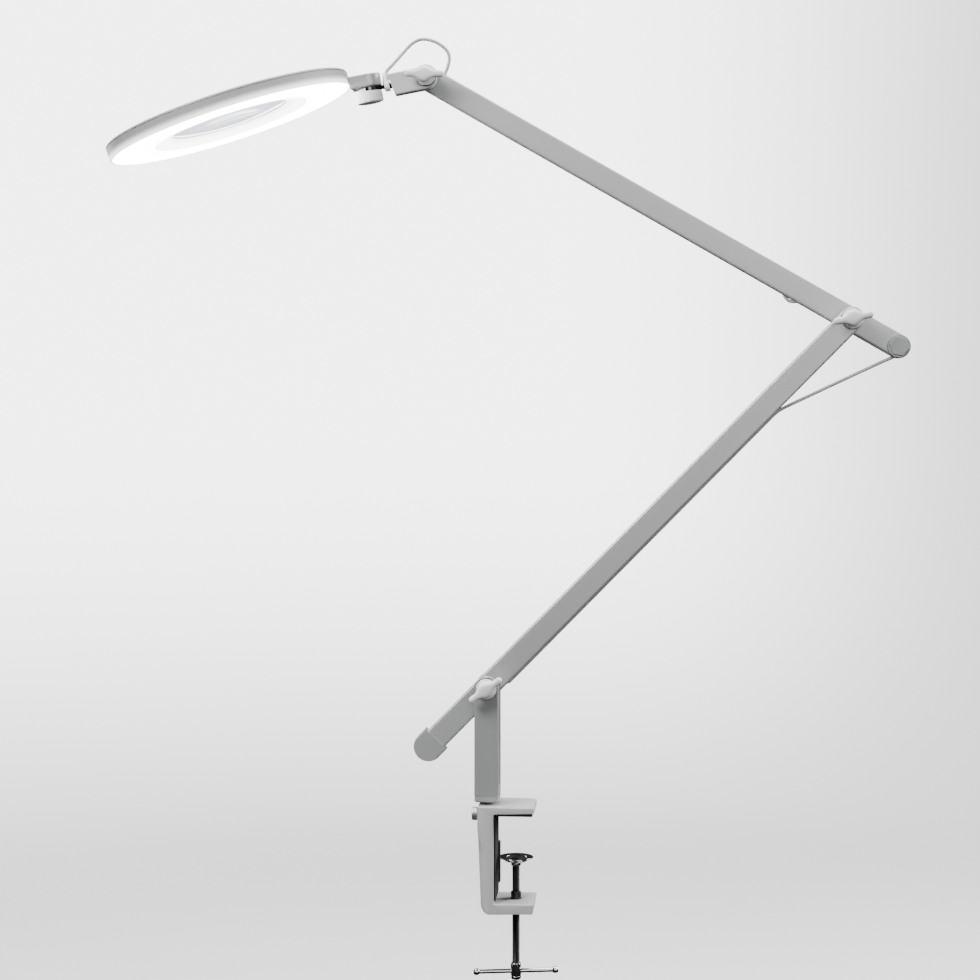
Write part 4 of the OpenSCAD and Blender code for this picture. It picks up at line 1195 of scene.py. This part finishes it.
@dataclass
class TiltBlock:
    """The cast block, its white collar, the chromed rod, the neck and its thumb knob."""

    knob_r: float = 13.5
    knob_top: float = -4.1
    knob_h: float = 11.6

    def thumb_knob(self) -> bpy.types.Object:
        """The round thumb knob: a turned drum with fine flutes and a dark foot groove."""
        top, r, h = self.knob_top, self.knob_r, self.knob_h
        line = rounded([(0, top - h, 0), (r - 3, top - h, 0.8), (r - 2.6, top - h + 0.5, 0.3),
                        (r, top - h + 0.5, 1.1), (r, top - h + 4, 0), (r, top - 4, 0),
                        (r - 0.4, top - 0.1, 1.4),
                        (4, top - 0.1, 0), (4, top + 13, 0.6), (0, top + 13, 0)], 6)
        points, faces = revolved(line, 216, 36, 0.35, (top - h + 1.0, top - 1.0))
        place = SIZES.at_swivel()
        shell = Shell("neck_thumb_knob").add(place.lamp(points), faces)
        return settle(shell.build(50), "neck_knob", body="neck_screw")

    def build(self) -> None:
        """Builds the block and the neck."""
        softened("tilt_block", 1.1, 4, 40)
        softened("cable_collar", 0.2, 2)
        softened("swivel_rod", 0.3, 3)
        softened("head_neck", 1.5, 4, 40)
        self.thumb_knob()


@dataclass
class LampHead:
    """The round head: shell, cover, lit ring, boards, bezel and lens."""

    radius: float = 128.2
    height: float = 16.0
    shell: float = 2.4
    split: float = 13.4
    web: float = 9.4
    lens_r: float = 63.5
    lens_z: float = 8.2
    lens_edge: float = 2.4
    lens_curve: float = 348.318
    ring_r: float = 81.0
    steps: int = 320
    place: Place = field(default_factory=SIZES.at_head)

    def turned_piece(self, name: str, corners: list, node: str, sharp: float = 40, steps: int = 5,
                     ) -> bpy.types.Object:
        """A ring turned about the head's axis from the corners of its section."""
        points, faces = revolved(rounded(corners, steps), self.steps)
        return settle(Shell(name).add(self.place.lamp(points), faces).build(sharp), node, body="head")

    def housing(self) -> None:
        """The shell below the parting line, with the web over the boards and the lens seat."""
        r, inner, wall = self.radius - 0.12, self.radius - self.shell, self.lens_r + 0.6
        top, seat = self.split - 0.3, self.lens_z - 0.49
        self.turned_piece("head_shell", [
            (inner, 0.5, 0.3), (r - 0.1, 0.5, 1.1), (r, 2.5, 0), (r, top, 0.35), (inner, top, 0.2),
            (inner, self.web + 1.4, 0.6), (wall + 2, self.web + 1.4, 0.4), (wall + 2, top, 0.2),
            (wall, top, 0.2), (wall, seat, 0), (wall - 3, seat, 0.2), (wall - 3, self.lens_z - 1.6, 0.2),
            (wall + 2, self.lens_z - 1.6, 0.4), (wall + 2, self.web, 0.4), (inner, self.web, 0.6)],
            "head_housing")

    def lit_ring(self) -> None:
        """The opal ring, slightly crowned, with a fine step at each rim."""
        inner, outer = self.ring_r + 0.3, self.radius - self.shell - 0.3
        self.turned_piece("lit_ring", [
            (inner, 1.5, 0), (inner, 1.2, 0.15), (inner + 1.2, 1.0, 0.5), ((inner + outer) / 2, 0.8, 40),
            (outer - 1.2, 1.0, 0.5), (outer, 1.3, 0.2), (outer, 6.2, 0.2), (outer - 1.2, 6.2, 0.2),
            (outer - 1.2, 3.2, 0.4), (inner, 3.2, 0.2)], "diffuser")

    def bezel(self) -> None:
        """The white cone between the lit ring and the lens, with a rolled lip at each edge."""
        r, seat = self.ring_r, self.lens_z - 1.6
        lip = self.lens_r - 2.8
        self.turned_piece("lens_cone", [
            (r - 1.6, 0.9, 0.3), (r, 0.9, 0.4), (r, 8.2, 0), (r - 1.4, 8.2, 0), (r - 1.4, 2.3, 0.5),
            (lip + 2, seat, 0.4), (lip, seat, 0.2), (lip + 0.4, seat - 0.9, 0.4)], "lens_bezel")

    def lens(self) -> None:
        """The biconvex glass: each face is a sphere's cap over the disc, with a ground edge.

        A face's height above the edge at radius r is the square root of curve squared less r
        squared, less the same at the rim.
        """
        r = self.lens_r * np.sin(np.linspace(0, math.pi / 2, 40))
        cap = np.sqrt(self.lens_curve**2 - r**2) - math.sqrt(self.lens_curve**2 - self.lens_r**2)
        low = np.stack([r, self.lens_z - cap], -1)
        high = np.stack([r, self.lens_z + self.lens_edge + cap], -1)[::-1]
        points, faces = revolved(np.vstack([low, high]), 192)
        settle(Shell("magnifier_glass").add(self.place.lamp(points), faces).build(50), "lens", body="head")

    def dimmer(self) -> None:
        """The round dimmer button, dished on top, with a soft rim."""
        line = rounded([(0, 12.7, 0), (8, 12.7, 0.2), (8, 13.4, 0.3), (7, 13.4, 0.2), (7, 17.4, 0.9),
                        (5.4, 17.3, 0.8), (0, 16.8, 0)], 6)
        points, faces = revolved(line, 96)
        place = self.place.moved(x=self.radius - 16.2)
        settle(Shell("dimmer_cap").add(place.lamp(points), faces).build(50), "dimmer_button", body="button")

    def build(self) -> None:
        """Builds the head from its shell inwards."""
        self.housing()
        softened("head_cover", 0.25, 2, 40)
        self.lit_ring()
        self.bezel()
        self.lens()
        self.dimmer()
        softened("lens_retainer", 0)
        softened("cover_screws", 0.12)
        softened("led_board", 0.1)
        softened("led_chips", 0.12, 1)
        softened("driver_board", 0.1)
        softened("button_switch", 0.1)


# ---------------------------------------------------------------- stage


@dataclass
class Stage:
    """Camera, backdrop, floor and lights."""

    eye: tuple = (0.12286, -2.03495, 0.40327)
    look_down: float = 2.1
    look_round: float = 4.2
    lens_mm: float = 73.95
    sensor_mm: float = 36.0
    floor_z: float = -0.36
    dome_r: float = 7.0
    air_low: float = 0.36
    air_high: float = 0.8

    def camera(self) -> None:
        """Makes the camera and gives it to the scene."""
        data = bpy.data.cameras.new("camera")
        data.lens, data.sensor_width = self.lens_mm, self.sensor_mm
        data.clip_start, data.clip_end = 0.05, 50
        cam = bpy.data.objects.new("camera", data)
        cam.location = self.eye
        cam.rotation_euler = (math.radians(90 - self.look_down), 0, math.radians(self.look_round))
        bpy.context.scene.collection.objects.link(cam)
        bpy.context.scene.camera = cam

    def dome(self) -> None:
        """The pale backdrop: a big sphere that shows but doesn't light the lamp.

        Its tone falls from the upper left towards the right and the bottom.
        """
        rows, cols = 33, 64
        a = np.linspace(-math.pi / 2, math.pi / 2, rows)[:, None]
        t = np.linspace(0, 2 * math.pi, cols, endpoint=False)[None, :]
        grid = self.dome_r * np.stack([np.cos(a) * np.cos(t), np.cos(a) * np.sin(t), np.sin(a) + 0 * t], -1)
        dome = Shell("backdrop").add(grid.reshape(-1, 3), grid_faces(rows, cols, False, True)).build(180)
        s = Surface("backdrop_paper")
        parts = s.node("ShaderNodeSeparateXYZ", None, i0=s.place)
        x, z = Signal(s, parts.outputs[0]), Signal(s, parts.outputs[2])
        right = x.ramp(-0.2, 1.9)
        low = 1 - z.ramp(-1.75, 0.35)
        tone = s.blend((1, 1, 1), (0, 0, 0), 1 - (1 - right * 0.95) * (1 - low * 0.97))
        colour = s.node("ShaderNodeMix", {"data_type": "RGBA"}, Factor=Signal(s, tone))
        for socket, level in zip([k for k in colour.inputs if k.type == "RGBA"], (1.62, 5.0)):
            socket.default_value = (level, level, level, 1)
        paper = s.node("ShaderNodeEmission", None, Strength=1.0,
                       Color=next(k for k in colour.outputs if k.type == "RGBA"))
        s.tree.links.new(paper.outputs[0], s.out.inputs["Surface"])
        dome.data.materials.append(s.material)
        dome.visible_diffuse = dome.visible_shadow = dome.visible_glossy = False

    def floor(self) -> None:
        """A pale round floor well under the lamp, whose edge fades into the backdrop."""
        r = np.linspace(0, 2.2, 12)[:, None]
        t = np.linspace(0, 2 * math.pi, 96, endpoint=False)[None, :]
        grid = np.stack([r * np.cos(t), r * np.sin(t), self.floor_z + 0 * r * t], -1)
        floor = Shell("floor").add(grid.reshape(-1, 3), grid_faces(12, 96, False, True)).build(180)
        s = Surface("floor_paper")
        x, y, _ = s.spaced(LAMP)
        radius = (x * x + y * y) ** 0.5
        s.finish(Base_Color=s.blend((0.84, 0.84, 0.84), (0.87, 0.87, 0.87), s.grain(60, 3)),
                 Roughness=0.9, Specular_IOR_Level=0.1, Alpha=1 - radius.ramp(0.7, 2.1))
        floor.data.materials.append(s.material)
        floor.visible_diffuse = floor.visible_glossy = False

    def area(self, name: str, spot: tuple, target: tuple, size: float, watts: float) -> None:
        """A square soft light at spot, aimed at target."""
        data = bpy.data.lights.new(name, "AREA")
        data.shape, data.size, data.energy = "SQUARE", size, watts
        lamp = bpy.data.objects.new(name, data)
        lamp.location = spot
        lamp.rotation_euler = (Vector(target) - Vector(spot)).to_track_quat("-Z", "Y").to_euler()
        bpy.context.scene.collection.objects.link(lamp)

    def lights(self) -> None:
        """A broad key from the upper left, a weak fill, a top light and even air light."""
        middle = (0.0, 0.0, 0.35)
        self.area("key", (-1.5, -1.5, 2.1), middle, 1.2, 105)
        self.area("fill", (1.2, -2.6, 0.9), middle, 1.8, 34)
        self.area("top", (0.0, 0.3, 2.7), middle, 1.2, 95)
        self.area("rim", (1.9, 0.6, 1.0), middle, 1.0, 75)
        self.area("back", (-1.6, 1.7, 0.9), middle, 1.2, 20)
        world = bpy.data.worlds.new("air")
        world.use_nodes = True
        tree = world.node_tree
        parts = tree.nodes.new("ShaderNodeSeparateXYZ")
        height = tree.nodes.new("ShaderNodeMapRange")
        height.interpolation_type = "SMOOTHSTEP"
        for socket, value in zip(height.inputs[1:5], (-0.45, 0.75, self.air_low, self.air_high)):
            socket.default_value = value
        tree.links.new(tree.nodes.new("ShaderNodeTexCoord").outputs["Generated"], parts.inputs[0])
        tree.links.new(parts.outputs[2], height.inputs[0])
        tree.links.new(height.outputs[0], tree.nodes["Background"].inputs[1])
        bpy.context.scene.world = world

    def build(self) -> None:
        """Builds everything but the camera, which comes first."""
        self.dome()
        self.floor()
        self.lights()


def main() -> None:
    """Builds the lamp from the cables outwards, and the stage round it."""
    logging.basicConfig(level=logging.INFO, format="%(message)s")
    stage = Stage()
    stage.camera()
    for part in (LampCable(), ClampFrame(), ClampScrew(), PostAndPivots(), Arms(), TiltBlock(), LampHead()):
        LOG.info("building %s", type(part).__name__)
        part.build()
    stage.build()


if __name__ == "__main__":
    main()
